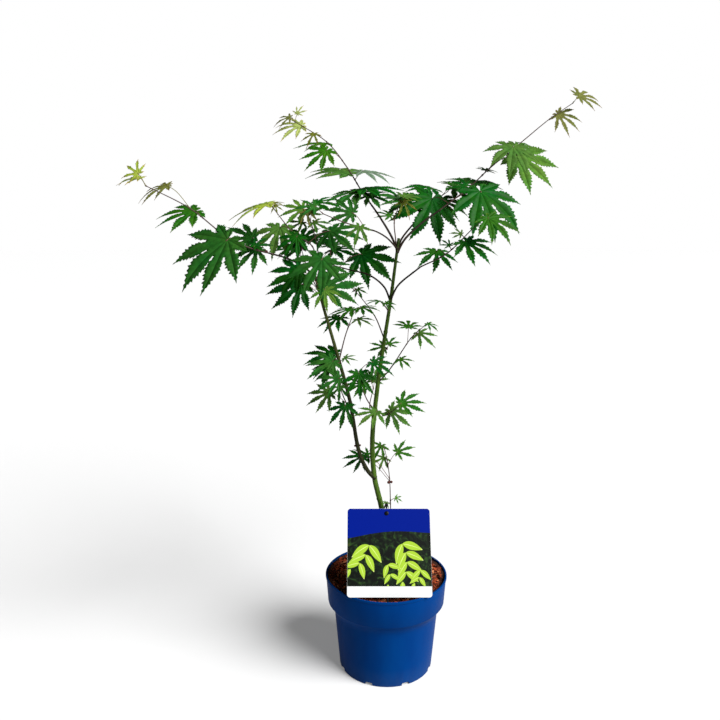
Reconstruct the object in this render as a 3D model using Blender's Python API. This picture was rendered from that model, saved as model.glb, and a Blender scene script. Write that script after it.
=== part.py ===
"""A young Japanese maple, 0.90 m tall, in a 19 cm moulded nursery pot with a blank picture label.

Two slender stems carry a few long boughs, and each bough ends in a spray: one twig with palmate leaves
on their stalks. Millimetres in the tables below become metres through mm(). X runs to the right of the
plant's front, Y away from its front, Z up. The origin is the middle of the pot's underside.
"""

import itertools
import math
import random

import bmesh
import bpy
from mathutils import Matrix, Vector
from mathutils.bvhtree import BVHTree

MM = 0.001
GAP = 0.3 * MM  # between neighbouring solids

# Pot: a tapered tub under a wider band with a thin lip, its wall moulded in one thickness.
POT_HEIGHT = 150 * MM
LIP_RADIUS = 95 * MM
LIP_DEPTH = 3.5 * MM
LIP_STEP = 1 * MM
BAND_FOOT = (91.3 * MM, 108 * MM)  # radius and height of the band's lower edge
BODY_TOP = (80.5 * MM, 84 * MM)
POT_FOOT_RADIUS = 73.2 * MM
POT_WALL = 1.6 * MM
POT_FLOOR = 2.4 * MM
POT_EDGE = 0.6 * MM  # chamfer of the lip and of the foot
# How the wall comes in under the band: shares of the way from the band to the body, inwards and down.
BAND_FILLET = ((0.0, 0.0), (0.28, 0.16), (0.62, 0.38), (0.87, 0.66), (1.0, 1.0))
ROUND_SEGMENTS = 32
DRAIN_COUNT = 8
DRAIN_SIZE = (12 * MM, 14 * MM, 9 * MM)  # along the rim, across it, and height of the cutter

# Soil: bark mulch, level round the stem's foot and heaped a little towards the wall.
SOIL_LEVEL = 140 * MM
SOIL_LEVEL_RADIUS = 26 * MM
SOIL_RINGS = (45 * MM, 65 * MM, 82 * MM)
SOIL_HEAP = 2.5 * MM  # how far the heap rises at the back, on average
SOIL_WAVE = (-0.5, 0.7)  # how much each point may differ, in heaps
SOIL_TURN = 0.6  # radians that the heap's top lies off the back
SOIL_BANK = 4 * MM  # how far the mulch is banked up against the wall, except at the front

# Label: a card that leans back on the rim, hung on a thin stake with a pin and a knob.
LABEL_WIDTH = 125 * MM
LABEL_LENGTH = 128 * MM
LABEL_THICKNESS = 0.8 * MM
LABEL_CORNER = 4.5 * MM
LABEL_LEAN = 29  # degrees back from upright
LABEL_FOOT = (2.5 * MM, -80.5 * MM, 150.7 * MM)  # middle of the front face's lower edge
HOLE_RADIUS = 2.5 * MM
HOLE_CUTTER = 10 * MM  # length of the cutter, through the card and out on both sides
HOLE_BELOW_TOP = 7 * MM
HOLE_OFFSET = -3 * MM  # from the card's middle
STAKE_RADIUS = 1.3 * MM
STAKE_ABOVE = 6 * MM
STAKE_BELOW = 8.6 * MM
KNOB_RADIUS = 2.6 * MM
PIN_RADIUS = 1.9 * MM
PIN_HEAD_RADIUS = 3.2 * MM
PIN_HEAD_DEPTH = 1.2 * MM

# Limbs: name, what it grows from, its route in mm, and its radius in mm at the foot and at the tip.
FLARE = (3.6 * MM, 14 * MM)  # how much wider the trunk's foot is, and how soon that fades
LIMBS = (
    ("trunk", None, ((12, 0, 140.3), (2, 3, 200), (-8, 5, 257), (-19, 5, 307), (-22, 4, 368),
                     (-15, 1, 445), (-7, -2, 506), (3, -3, 573), (11, -2, 636), (15, -1, 668)), 4.5, 2.0),
    ("left_stem", "trunk", ((-18, 5, 303), (-31, 2, 319), (-44, -3, 354), (-57, -7, 432),
                            (-78, -12, 512), (-94, -16, 570), (-106, -18, 617)), 3.1, 1.9),
    ("far_left_bough", "left_stem", ((-103, -18, 609), (-118, -26, 626), (-142, -37, 640),
                                     (-168, -46, 648)), 1.5, 1.1),
    ("top_left_bough", "trunk", ((13, -2, 652), (3, 8, 674), (-14, 21, 702), (-31, 33, 726)), 1.7, 1.2),
    ("right_bough", "trunk", ((13, -2, 648), (25, 1, 668), (49, 10, 690), (76, 18, 709)), 1.7, 1.3),
    ("back_bough", "trunk", ((14, -2, 656), (24, 26, 672), (52, 76, 702)), 1.5, 1.1),
    ("inner_left_bough", "trunk", ((13, -2, 653), (-2, -18, 668), (-18, -42, 677), (-33, -60, 681)), 1.2, 0.9),
    ("lower_right_bough", "trunk", ((4, -3, 580), (15, -20, 603), (42, -55, 629)), 1.4, 1.1),
    ("lower_left_bough", "trunk", ((4, -3, 576), (-6, 12, 598), (-28, 28, 614), (-58, 45, 621)), 1.4, 1.1),
)
TAPER = 1.3  # a limb keeps its foot's girth longer the higher this is
CLEAR_STEPS = 200  # how finely a limb's route is searched for where it clears what carries it
CLEAR_TURNS = 12
LIMB_SIDES = {"trunk": 8, "left_stem": 7}
BOUGH_SIDES = 5

# Leaves: the stalk rises by STALK_RISE against the blade's own direction, and the blades of one spray
# lean back and forward by turns. A blade that would touch something leans more, moves nearer or farther
# or swings aside, whichever disturbs it least.
STALK_RISE = 1.0
LEAF_LEAN = 20  # degrees that a stalk leans to the front or back
LEAN_JITTER = 5
BLADE_LEAN = 0.3  # the blade leans this share of what its stalk does
OUTWARD = 6  # degrees that a face OUTWARD_REACH out from the middle is turned away from it
OUTWARD_FROM = -20 * MM
OUTWARD_REACH = 120 * MM
LEAN_TRIALS = (0, 14, -14, 28, -28)
DEPTH_TRIALS = (0, 8, -8, 16, -16, 24, -24, 32, -32, 40, -40)  # mm
SWING_TRIALS = (0, 10, -10, 20, -20)
TRIAL_COSTS = (1 / 14, 1 / 8, 1 / 4)  # of a degree of lean, a millimetre of depth and a degree of swing
SEED = 11  # of the leaves' small differences and the soil's waves
TWIG_RADII = (1.1, 0.6)  # mm, at the twig's foot and tip
STALK_RADIUS = 0.7 * MM
STALK_ARCH = 0.1  # rise of a long stalk over its straight line, as a share of its length
STALK_ARCH_PLACE = 0.55
STRAIGHT_STALK = 15 * MM  # a shorter stalk isn't arched
TWIG_SIDES = 3
LOBES = ((0, 1.0), (31, 0.93), (64, 0.74), (102, 0.42))  # angle from the midrib, and length
SMALL_LOBES = ((0, 1.0), (38, 0.86), (82, 0.55))
SMALL_BLADE = 34 * MM
LOBE_HALF_WIDTH = 0.115
LOBE_SHOULDER = 0.55  # where along a long lobe it is widest
SHOULDERED_LENGTH = 45 * MM  # a shorter lobe has straight sides
NOTCH = 0.27  # how near the stalk the blade is cut
SHALLOW_NOTCH = 0.36  # the same beside a lobe with straight sides
NOTCH_FADE = 0.35  # beside a lobe more than this short of the full length the blade is cut deeper
STALK_CORNER = (180, 0.06)  # angle and distance of the blade's corner behind the stalk's end
BLADE_MIDDLE = 0.04  # how far out from the stalk's end all the lobes' faces meet
DROOP = 0.1  # how far a full lobe's tip hangs below the stalk's end
BLADE_THICKNESS = (0.8 * MM, 0.015)  # at least, and as a share of the blade
TEST_MARGIN = 0.5 * MM  # a trial blade is this much thicker on each face

# Sprays: name: limb, route of the twig in mm from that limb (None: on from its tip), and its leaves.
# A leaf is: how far along the twig, stalk in mm, bearing of the midrib seen from the front in degrees
# clockwise from straight up, degrees that its face is turned up from square-on, and blade in mm.
SPRAYS = {
    "far_left_spray": ("far_left_bough", None, ((-189, -55, 654), (-222, -65, 670), (-266, -80, 707),
                                                (-318, -97, 735)),
                       ((0.01, 30, 265, 40, 51), (0.12, 4, 45, 42, 32), (0.06, 9, 222, 42, 46),
                        (0.27, 4, 236, 46, 92), (0.57, 14, 250, 60, 60), (0.66, 46, 262, 66, 46),
                        (1.0, 15, 268, 72, 34), (1.0, 17, 303, 25, 32))),
    "left_crown_spray": ("left_stem", None, ((-105, -24, 637), (-109, -29, 658), (-136, -37, 678),
                                             (-162, -50, 712)),
                         ((0.4, 36, 126, 50, 58), (0.5, 6, 215, 38, 41), (0.62, 32, 196, 40, 56),
                          (0.96, 8, 264, 76, 62), (1.0, 5, 95, 70, 17), (1.0, 5, 160, 50, 17))),
    "red_twig_spray": ("left_stem", (-104, -18, 606), ((-100, -6, 628), (-104, 2, 660), (-112, -2, 692),
                                                       (-118, -8, 706)),
                       ((0.74, 18, 240, 40, 27), (0.8, 4, 105, 60, 31), (0.85, 10, 20, 42, 31),
                        (1.0, 6, 257, 40, 40), (1.0, 17, 95, 64, 46), (1.0, 4, 170, 40, 27))),
    "left_front_spray": ("left_stem", (-98, -17, 585), ((-97, -40, 600), (-94, -65, 622), (-88, -80, 640)),
                         ((0.02, 34, 230, 30, 58), (0.08, 9, 78, 38, 61), (0.22, 9, 174, 40, 36),
                          (0.32, 38, 252, 40, 54), (1.0, 4, 212, 34, 62))),
    "left_back_spray": ("left_stem", (-92, -15, 562), ((-103, 16, 590), (-121, 46, 622), (-132, 76, 650)),
                        ((0.35, 24, 250, 60, 46), (0.55, 26, 95, 60, 50), (0.8, 26, 275, 70, 44),
                         (1.0, 20, 80, 70, 48), (1.0, 16, 10, 60, 50))),
    "inner_left_spray": ("inner_left_bough", None, ((-62, -75, 689), (-90, -85, 700)),
                         ((0.02, 27, 280, 32, 42), (0.08, 6, 200, 38, 33), (1.0, 14, 265, 45, 32))),
    "lower_left_spray": ("lower_left_bough", None, ((-85, 62, 628), (-115, 85, 640)),
                         ((0.24, 42, 128, 42, 70), (0.5, 28, 10, 60, 44), (0.75, 24, 100, 70, 50),
                          (1.0, 24, 262, 60, 44))),
    "top_left_spray": ("top_left_bough", None, ((-41, 40, 741), (-62, 54, 775), (-92, 70, 812),
                                                (-141, 90, 844)),
                       ((0.01, 5, 110, 60, 47), (0.02, 12, 266, 78, 62), (0.08, 5, 88, 77, 64),
                        (0.2, 18, 95, 82, 52), (0.24, 6, 280, 76, 76), (0.44, 24, 232, 44, 47),
                        (0.63, 4, 262, 74, 52), (0.76, 4, 212, 50, 28), (0.9, 6, 258, 50, 48),
                        (1.0, 9, 262, 50, 29), (1.0, 13, 35, 30, 19))),
    "upright_spray": ("trunk", (13, -2, 644), ((11, 12, 668), (10, 28, 694), (19, 40, 722)),
                      ((0.6, 10, 285, 60, 30), (0.98, 6, 150, 38, 30), (1.0, 8, 285, 60, 28),
                       (1.0, 8, 60, 60, 34))),
    "right_spray": ("right_bough", None, ((121, 30, 743), (158, 40, 777), (199, 50, 809),
                                          (240, 60, 842), (277, 68, 867)),
                    ((0.06, 30, 208, 28, 84), (0.1, 43, 157, 44, 87), (0.22, 6, 64, 76, 70),
                     (0.2, 4, 300, 40, 30), (0.34, 62, 131, 32, 76), (0.34, 4, 45, 60, 28),
                     (0.56, 6, 78, 66, 40), (0.56, 4, 203, 58, 66), (0.84, 15, 126, 28, 42),
                     (1.0, 12, 78, 44, 46))),
    "back_spray": ("back_bough", None, ((80, 105, 728), (100, 125, 742)),
                   ((0.15, 26, 250, 65, 60), (0.2, 26, 105, 60, 56), (0.75, 20, 262, 72, 54),
                    (0.8, 20, 105, 66, 56), (1.0, 14, 60, 78, 40))),
    "lower_right_spray": ("lower_right_bough", None, ((76, -75, 648), (104, -88, 677), (118, -94, 691)),
                          ((0.38, 20, 190, 54, 47), (0.48, 6, 315, 40, 17), (0.56, 13, 132, 52, 50),
                           (0.7, 6, 285, 40, 17), (1.0, 8, 134, 46, 50))),
    "mid_left_spray": ("trunk", (-5, -2, 521), ((-18, 25, 551), (-38, 42, 577), (-50, 50, 589)),
                       ((1.0, 7, 150, 38, 21), (1.0, 8, 300, 60, 26))),
    "mid_right_spray": ("trunk", (-13, 1, 455), ((6, -14, 482), (32, -30, 526), (51, -40, 546)),
                        ((0.36, 7, 120, 58, 25), (0.66, 24, 5, 62, 35), (0.76, 13, 130, 44, 33),
                         (1.0, 5, 108, 70, 20))),
    "low_right_spray": ("trunk", (-19, 2, 414), ((-3, -25, 411), (15, -45, 430)),
                        ((0.34, 13, 243, 62, 40), (0.56, 4, 122, 36, 42), (0.96, 6, 85, 52, 40))),
    "low_left_spray": ("trunk", (-19, 2, 412), ((-30, -20, 432), (-41, -40, 462), (-45, -55, 480)),
                       ((1.0, 10, 176, 12, 41), (1.0, 28, 105, 56, 36))),
    "low_back_spray": ("trunk", (-21, 3, 396), ((-26, 26, 412), (-20, 52, 434)),
                       ((0.9, 20, 250, 60, 38), (1.0, 18, 325, 60, 34), (1.0, 12, 20, 60, 36))),
    "stem_up_spray": ("left_stem", (-72, -11, 490), ((-63, -2, 525), (-54, 7, 550), (-50, 10, 562)),
                      ((0.64, 18, 105, 70, 30), (0.68, 19, 246, 73, 42), (0.9, 17, 108, 72, 34),
                       (1.0, 4, 264, 80, 42))),
    "stem_front_spray": ("left_stem", (-71, -10, 482), ((-76, -24, 493), (-78, -32, 497)),
                         ((0.1, 13, 100, 60, 21), (0.3, 7, 245, 45, 48), (0.6, 5, 262, 68, 52))),
    "stem_back_spray": ("left_stem", (-68, -9, 458), ((-78, 16, 462), (-88, 40, 468)),
                        ((0.8, 8, 232, 52, 30), (1.0, 6, 244, 60, 32), (1.0, 6, 275, 70, 28))),
    "stem_low_spray": ("left_stem", (-60, -8, 422), ((-64, -26, 436), (-69, -40, 455), (-67, -44, 470)),
                       ((0.08, 5, 190, 22, 40), (0.1, 32, 250, 44, 40), (0.72, 5, 185, 38, 26),
                        (1.0, 4, 250, 40, 38))),
    "pair_spray": ("trunk", (-7, -2, 503), ((-4, 12, 503), (0, 22, 502)),
                   ((1.0, 6, 255, 42, 28), (1.0, 8, 35, 50, 27))),
    "short_spray": ("trunk", (1, -3, 562), ((-4, -14, 570), (-8, -22, 574)),
                    ((0.7, 10, 265, 80, 25), (1.0, 5, 110, 60, 19))),
    "foot_spray": (None, (9, -17, 140.3), ((8, -12, 200), (6, -6, 262), (5, 0, 297), (3, 7, 318),
                                           (0, 14, 334), (-3, 18, 346)),
                   ((0.6, 10, 200, 38, 13), (0.62, 10, 110, 38, 13), (0.76, 54, 246, 48, 35),
                    (1.0, 5, 215, 42, 30), (0.78, 48, 266, 52, 31), (0.92, 5, 212, 46, 25),
                    (0.88, 24, 76, 48, 33))),
}

# Finishes: sRGB colour 0-255, metallic, roughness.
FINISHES = {
    "pot": ("moulded_polypropylene", (12, 74, 150), 0.0, 0.45),
    "soil": ("bark_mulch", (92, 56, 48), 0.0, 0.95),
    "label": ("printed_card", (10, 44, 150), 0.0, 0.25),
    "label_stake": ("black_nylon", (22, 22, 24), 0.0, 0.5),
    "trunk": ("young_green_bark", (86, 110, 52), 0.0, 0.6),
    "left_stem": ("young_dark_bark", (44, 44, 26), 0.0, 0.6),
    "bough": ("twig_bark", (58, 44, 36), 0.0, 0.6),
    "spray": ("maple_leaf", (48, 120, 36), 0.0, 0.5),
}


def mm(*values):
    return Vector(values) * MM


def linear(channel):
    share = channel / 255
    return share / 12.92 if share <= 0.04045 else ((share + 0.055) / 1.055) ** 2.4


def finish(key):
    name, colour, metallic, roughness = FINISHES[key]
    material = bpy.data.materials.get(name)
    if material is None:
        material = bpy.data.materials.new(name)
        material.use_nodes = True
        shader = material.node_tree.nodes["Principled BSDF"]
        shader.inputs["Base Color"].default_value = (*map(linear, colour), 1.0)
        shader.inputs["Metallic"].default_value = metallic
        shader.inputs["Roughness"].default_value = roughness
    return material


def to_object(name, bm, key, smooth_degrees=None):
    """The bmesh as a named object with its finish; smooth_degrees shades its round faces smooth."""
    bmesh.ops.recalc_face_normals(bm, faces=bm.faces)
    mesh = bpy.data.meshes.new(name)
    bm.to_mesh(mesh)
    bm.free()
    mesh.materials.append(finish(key))
    if smooth_degrees is not None:
        mesh.shade_smooth()
        mesh.set_sharp_from_angle(angle=math.radians(smooth_degrees))
    made = bpy.data.objects.new(name, mesh)
    bpy.context.scene.collection.objects.link(made)
    return made


def turned(name, profile, segments, key):
    """A closed round solid: profile is (radius, height) from the axis, out, and back to the axis."""
    bm = bmesh.new()
    points = [bm.verts.new((radius, 0, height)) for radius, height in profile]
    edges = [bm.edges.new(pair) for pair in zip(points, points[1:])]
    bmesh.ops.spin(bm, geom=points + edges, cent=(0, 0, 0), axis=(0, 0, 1), angle=math.tau,
                   steps=segments, use_merge=True)
    bmesh.ops.remove_doubles(bm, verts=bm.verts, dist=1e-6)
    return to_object(name, bm, key, smooth_degrees=35)


def difference(made, cutter):
    cutter.hide_render = True
    cutter.display_type = "WIRE"
    cut = made.modifiers.new("cut", "BOOLEAN")
    cut.operation = "DIFFERENCE"
    cut.object = cutter


def pot_outline(inset):
    """The pot's outer wall from rim to foot, moved inwards by inset."""
    band_r, band_z = BAND_FOOT
    body_r, body_z = BODY_TOP
    fillet = [(band_r + (body_r - band_r) * share, band_z + (body_z - band_z) * height)
              for share, height in BAND_FILLET]
    return [(radius - inset, height) for radius, height in fillet]


def pot():
    lip_foot = POT_HEIGHT - LIP_DEPTH
    outer = [(LIP_RADIUS - POT_WALL - LIP_STEP, POT_HEIGHT), (LIP_RADIUS - POT_EDGE, POT_HEIGHT),
             (LIP_RADIUS, POT_HEIGHT - POT_EDGE), (LIP_RADIUS, lip_foot),
             (LIP_RADIUS - LIP_STEP, lip_foot - LIP_STEP)]
    foot = [(POT_FOOT_RADIUS, POT_EDGE), (POT_FOOT_RADIUS - POT_EDGE, 0), (0, 0)]
    floor = [(0, POT_FLOOR), (POT_FOOT_RADIUS - POT_WALL, POT_FLOOR)]
    inner = pot_outline(POT_WALL)[::-1]
    profile = floor + inner + outer + pot_outline(0) + foot
    made = turned("pot", profile[::-1], ROUND_SEGMENTS, "pot")
    cutters = bmesh.new()
    for step in range(DRAIN_COUNT):
        turn = Matrix.Rotation(math.tau * (step + 0.5) / DRAIN_COUNT, 4, "Z")
        place = turn @ Matrix.Translation((POT_FOOT_RADIUS, 0, 0)) @ Matrix.Diagonal(
            (DRAIN_SIZE[1], DRAIN_SIZE[0], DRAIN_SIZE[2], 1))
        bmesh.ops.create_cube(cutters, size=1, matrix=place)
    difference(made, to_object("drain_cutter", cutters, "pot"))
    return made


def soil():
    """Fills the pot; its rings wave a little, and stay level round the stem's foot."""
    rng = random.Random(SEED)
    wall = pot_outline(POT_WALL + GAP)
    bottom = POT_FLOOR + GAP
    band_r, band_z = wall[0]
    rim_r = LIP_RADIUS - POT_WALL - LIP_STEP - GAP
    edge_r = band_r + (rim_r - band_r) * (SOIL_LEVEL - band_z) / (POT_HEIGHT - band_z)
    side = [(0, bottom), (POT_FOOT_RADIUS - POT_WALL - GAP, bottom)] + wall[::-1] + [(edge_r, SOIL_LEVEL)]
    top = [(radius, SOIL_LEVEL) for radius in (*SOIL_RINGS[::-1], SOIL_LEVEL_RADIUS, 0)]
    made = turned("soil", (side + top)[::-1], ROUND_SEGMENTS, "soil")
    for point in made.data.vertices:
        radius = math.hypot(point.co.x, point.co.y)
        if point.co.z > SOIL_LEVEL - MM and radius > SOIL_LEVEL_RADIUS + MM:
            turn = math.atan2(point.co.y, point.co.x)
            outwards = (radius - SOIL_LEVEL_RADIUS) / (edge_r - SOIL_LEVEL_RADIUS)
            point.co.z += SOIL_BANK * outwards * min(1.0, 1 + math.sin(turn))
            if radius < edge_r - MM:
                back = 0.5 + 0.5 * math.sin(turn - SOIL_TURN)
                point.co.z += SOIL_HEAP * (back + rng.uniform(*SOIL_WAVE))
    return made


def label_place():
    """The card's frame: X along its width, Y up its face, Z out of its front."""
    return Matrix.Translation(LABEL_FOOT) @ Matrix.Rotation(math.radians(90 - LABEL_LEAN), 4, "X")


def label():
    bm = bmesh.new()
    bmesh.ops.create_cube(bm, size=1)
    bmesh.ops.scale(bm, verts=bm.verts, vec=(LABEL_WIDTH, LABEL_LENGTH, LABEL_THICKNESS))
    bmesh.ops.translate(bm, verts=bm.verts, vec=(0, LABEL_LENGTH / 2, -LABEL_THICKNESS / 2))
    upright = [e for e in bm.edges if abs(e.verts[0].co.z - e.verts[1].co.z) > LABEL_THICKNESS / 2]
    bmesh.ops.bevel(bm, geom=upright, offset=LABEL_CORNER, segments=4, profile=0.5, affect="EDGES",
                    material=-1)
    made = to_object("label", bm, "label")
    made.matrix_world = label_place()
    hole = bmesh.new()
    bmesh.ops.create_cone(hole, cap_ends=True, segments=20, radius1=HOLE_RADIUS, radius2=HOLE_RADIUS,
                          depth=HOLE_CUTTER)
    cutter = to_object("hole_cutter", hole, "label")
    cutter.matrix_world = label_place() @ Matrix.Translation((HOLE_OFFSET, LABEL_LENGTH - HOLE_BELOW_TOP, 0))
    difference(made, cutter)
    return made


def label_stake():
    """A thin stake behind the card, with a knob on its top and a headed pin through the card's hole."""
    behind = -(LABEL_THICKNESS + GAP + STAKE_RADIUS)
    top = LABEL_LENGTH + STAKE_ABOVE
    pin_height = LABEL_LENGTH - HOLE_BELOW_TOP
    place = label_place() @ Matrix.Translation((HOLE_OFFSET, 0, 0))
    spine = [place @ Vector((0, height, behind)) for height in (-STAKE_BELOW, pin_height / 2, top)]
    pin = [place @ Vector((0, pin_height, depth)) for depth in (behind, GAP + PIN_HEAD_DEPTH / 2)]
    head = [place @ Vector((0, pin_height, depth)) for depth in (GAP, GAP + PIN_HEAD_DEPTH)]
    knob = bmesh.new()
    bmesh.ops.create_uvsphere(knob, u_segments=12, v_segments=8, radius=KNOB_RADIUS,
                              matrix=place @ Matrix.Translation((0, top, behind)))
    rods = [tube_mesh(spine, [STAKE_RADIUS] * 3, 8), tube_mesh(pin, [PIN_RADIUS] * 2, 10),
            tube_mesh(head, [PIN_HEAD_RADIUS] * 2, 14), knob]
    return fuse("label_stake", rods, "label_stake")


def smooth_route(points, steps=4):
    """Points of a smooth curve through the route's own points, each span cut into steps."""
    ends = [points[0] * 2 - points[1]] + list(points) + [points[-1] * 2 - points[-2]]
    route = []
    for a, b, c, d in zip(ends, ends[1:], ends[2:], ends[3:]):
        for step in range(steps):
            t = step / steps
            route.append(0.5 * (2 * b + (c - a) * t + (2 * a - 5 * b + 4 * c - d) * t ** 2
                                + (3 * b - a - 3 * c + d) * t ** 3))
    return route + [points[-1]]


def shares(route):
    """How far along the route each of its points lies, 0 to 1."""
    lengths = [0.0]
    for a, b in zip(route, route[1:]):
        lengths.append(lengths[-1] + (b - a).length)
    return [length / lengths[-1] for length in lengths]


def point_at(route, share):
    marks = shares(route)
    for i in range(len(route) - 1):
        if share <= marks[i + 1]:
            return route[i].lerp(route[i + 1], (share - marks[i]) / (marks[i + 1] - marks[i]))
    return route[-1].copy()


def tube_mesh(route, radii, sides, level_foot=False):
    """A closed tube with flat ends; its rings turn with the route and don't twist."""
    bm = bmesh.new()
    across = None
    rings = []
    for i, point in enumerate(route):
        heading = (route[min(i + 1, len(route) - 1)] - route[max(i - 1, 0)]).normalized()
        if level_foot and i == 0:
            heading = Vector((0, 0, 1))
        if across is None:
            across = heading.orthogonal().normalized()
        across = (across - heading * across.dot(heading)).normalized()
        other = heading.cross(across)
        turns = [math.tau * side / sides for side in range(sides)]
        spokes = [across * math.cos(turn) + other * math.sin(turn) for turn in turns]
        rings.append([bm.verts.new(point + spoke * radii[i]) for spoke in spokes])
    for low, high in zip(rings, rings[1:]):
        for side in range(sides):
            after = (side + 1) % sides
            bm.faces.new((low[side], low[after], high[after], high[side]))
    bm.faces.new(rings[0][::-1])
    bm.faces.new(rings[-1])
    return bm


def clear_start(route, radius, parent):
    """The route with its foot moved out along it until the tube clears its parent's surface by GAP."""
    axis, widths = parent
    fine = [point_at(route, step / CLEAR_STEPS) for step in range(CLEAR_STEPS + 1)]
    for i, point in enumerate(fine[:-1]):
        heading = (fine[i + 1] - point).normalized()
        across = heading.orthogonal().normalized()
        turns = [Matrix.Rotation(math.tau * turn / CLEAR_TURNS, 3, heading) for turn in range(CLEAR_TURNS)]
        ring = [point + turn @ across * radius for turn in turns]
        if all(distance_to(axis, widths, corner) > GAP for corner in ring):
            beyond = (i + 2) / CLEAR_STEPS
            return [point] + [p for p, mark in zip(route, shares(route)) if mark > beyond]
    return route


def distance_to(axis, widths, point):
    """How far a point lies outside a tapering limb."""
    nearest = math.inf
    for a, b, wide, narrow in zip(axis, axis[1:], widths, widths[1:]):
        along = b - a
        share = max(0.0, min(1.0, (point - a).dot(along) / along.length_squared))
        nearest = min(nearest, (point - a - along * share).length - (wide + (narrow - wide) * share))
    return nearest


def limb_radii(route, foot, tip, flare=(0.0, 1.0)):
    """Tapering radii; flare widens the foot and fades up the limb."""
    length = sum((b - a).length for a, b in zip(route, route[1:]))
    return [foot + (tip - foot) * share ** TAPER + flare[0] * math.exp(-share * length / flare[1])
            for share in shares(route)]


def limbs():
    """Makes each limb. Returns name: (route, radii), and the limbs' search trees."""
    grown, trees = {}, []
    for name, parent, points, foot, tip in LIMBS:
        route = smooth_route([mm(*point) for point in points])
        if parent:
            route = clear_start(route, foot * MM, grown[parent])
        radii = limb_radii(route, foot * MM, tip * MM, FLARE if name == "trunk" else (0.0, 1.0))
        grown[name] = (route, radii)
        tube = tube_mesh(route, radii, LIMB_SIDES.get(name, BOUGH_SIDES), level_foot=parent is None)
        trees.append(BVHTree.FromBMesh(tube))
        to_object(name, tube, name if name in FINISHES else "bough", smooth_degrees=60)
    return grown, trees


def leaf_outline(blade):
    """Corners of a palmate blade from the stalk round to the stalk; X is the midrib."""
    half = SMALL_LOBES if blade < SMALL_BLADE else LOBES
    lobes = [(-angle, length) for angle, length in half[:0:-1]] + list(half)
    corners = [STALK_CORNER]
    for (last_angle, last), (angle, length) in zip([(0, 0)] + lobes, lobes):
        shouldered = length * blade > SHOULDERED_LENGTH
        if last:
            notch = NOTCH if shouldered and last * blade > SHOULDERED_LENGTH else SHALLOW_NOTCH
            notch *= min(1.0, NOTCH_FADE + last, NOTCH_FADE + length)
            corners.append(((angle + last_angle) / 2, notch))
        if shouldered:
            shoulder = LOBE_SHOULDER * length
            spread = math.degrees(math.atan(LOBE_HALF_WIDTH * (1 + length) / 2 / shoulder))
            corners += [(angle - spread, shoulder), (angle, length), (angle + spread, shoulder)]
        else:
            corners.append((angle, length))
    corners = [(math.radians(angle), blade * reach) for angle, reach in corners]
    return [(reach * math.cos(angle), reach * math.sin(angle)) for angle, reach in corners]


def leaf_mesh(blade, place, margin=0.0):
    """A thin lobed plate in the frame given by place, with every lobe drooping from the stalk's end."""
    thickness = max(BLADE_THICKNESS[0], BLADE_THICKNESS[1] * blade)
    bm = bmesh.new()
    middle = bm.verts.new((BLADE_MIDDLE * blade, 0, 0))
    rim = [bm.verts.new((x, y, -DROOP * (x * x + y * y) / blade)) for x, y in leaf_outline(blade)]
    for a, b in zip(rim, rim[1:] + rim[:1]):
        bm.faces.new((middle, a, b))
    bm.normal_update()
    bmesh.ops.solidify(bm, geom=bm.faces[:], thickness=thickness + 2 * margin)
    bmesh.ops.transform(bm, matrix=place @ Matrix.Translation((0, 0, margin)), verts=bm.verts)
    return bm


def leaf_place(foot, bearing, lean, turn, reach):
    """The stalk's end and the blade's frame: X the midrib, Z out of the upper face.
    The face is turned up by turn and outwards from the plant; from the front the midrib has the bearing.
    reach is the stalk's length and how much farther than its own rise it goes in depth."""
    bearing, lean, turn = map(math.radians, (bearing, lean, turn))
    level = Vector((math.sin(bearing) * math.cos(lean), -math.sin(lean), math.cos(bearing) * math.cos(lean)))
    rise = (level + Vector((0, 0, STALK_RISE))).normalized()
    outward = math.radians(OUTWARD) * max(-1.0, min(1.0, (foot.x - OUTWARD_FROM) / OUTWARD_REACH))
    across = math.cos(outward)
    face = Vector((math.sin(outward), -math.cos(turn) * across, math.sin(turn) * across))
    depth = -(math.sin(bearing) * face.x + math.cos(bearing) * face.z) / face.y
    midrib = Vector((math.sin(bearing), depth, math.cos(bearing))).normalized()
    side = face.cross(midrib)
    tip = Matrix.Rotation(lean * BLADE_LEAN, 3, side)
    midrib, face = tip @ midrib, tip @ face
    end = foot + rise * reach[0] + Vector((0, reach[1], 0))
    return Matrix.Translation(end) @ Matrix((midrib, side, face)).transposed().to_4x4()


def fit_leaf(foot, stalk, bearing, lean, turn, blade, off_blade, off_stalk):
    """The first place near the wanted one where the blade keeps off off_blade and the stalk off off_stalk,
    with the search trees of both."""
    trials = sorted(itertools.product(LEAN_TRIALS, DEPTH_TRIALS, SWING_TRIALS),
                    key=lambda trial: sum(cost * abs(step) for cost, step in zip(TRIAL_COSTS, trial)))
    for more_lean, depth, swing in trials:
        place = leaf_place(foot, bearing + swing, lean + more_lean, turn, (stalk, depth * MM))
        blade_tree = search_tree(leaf_mesh(blade, place, TEST_MARGIN))
        stalk_tree = search_tree(stalk_mesh(foot, place, TEST_MARGIN))
        if not (any(blade_tree.overlap(other) for other in off_blade)
                or any(stalk_tree.overlap(other) for other in off_stalk)):
            return place, blade_tree, stalk_tree
    return None


def search_tree(bm):
    tree = BVHTree.FromBMesh(bm)
    bm.free()
    return tree


def stalk_mesh(foot, place, margin=0.0):
    """The leaf's stalk: from the twig's middle, arched, into the blade's underside."""
    end = place.translation
    route = [foot, end]
    if (end - foot).length > STRAIGHT_STALK:
        route.insert(1, foot.lerp(end, STALK_ARCH_PLACE) + Vector((0, 0, STALK_ARCH * (end - foot).length)))
    return tube_mesh(route, [STALK_RADIUS + margin] * len(route), TWIG_SIDES)


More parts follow.
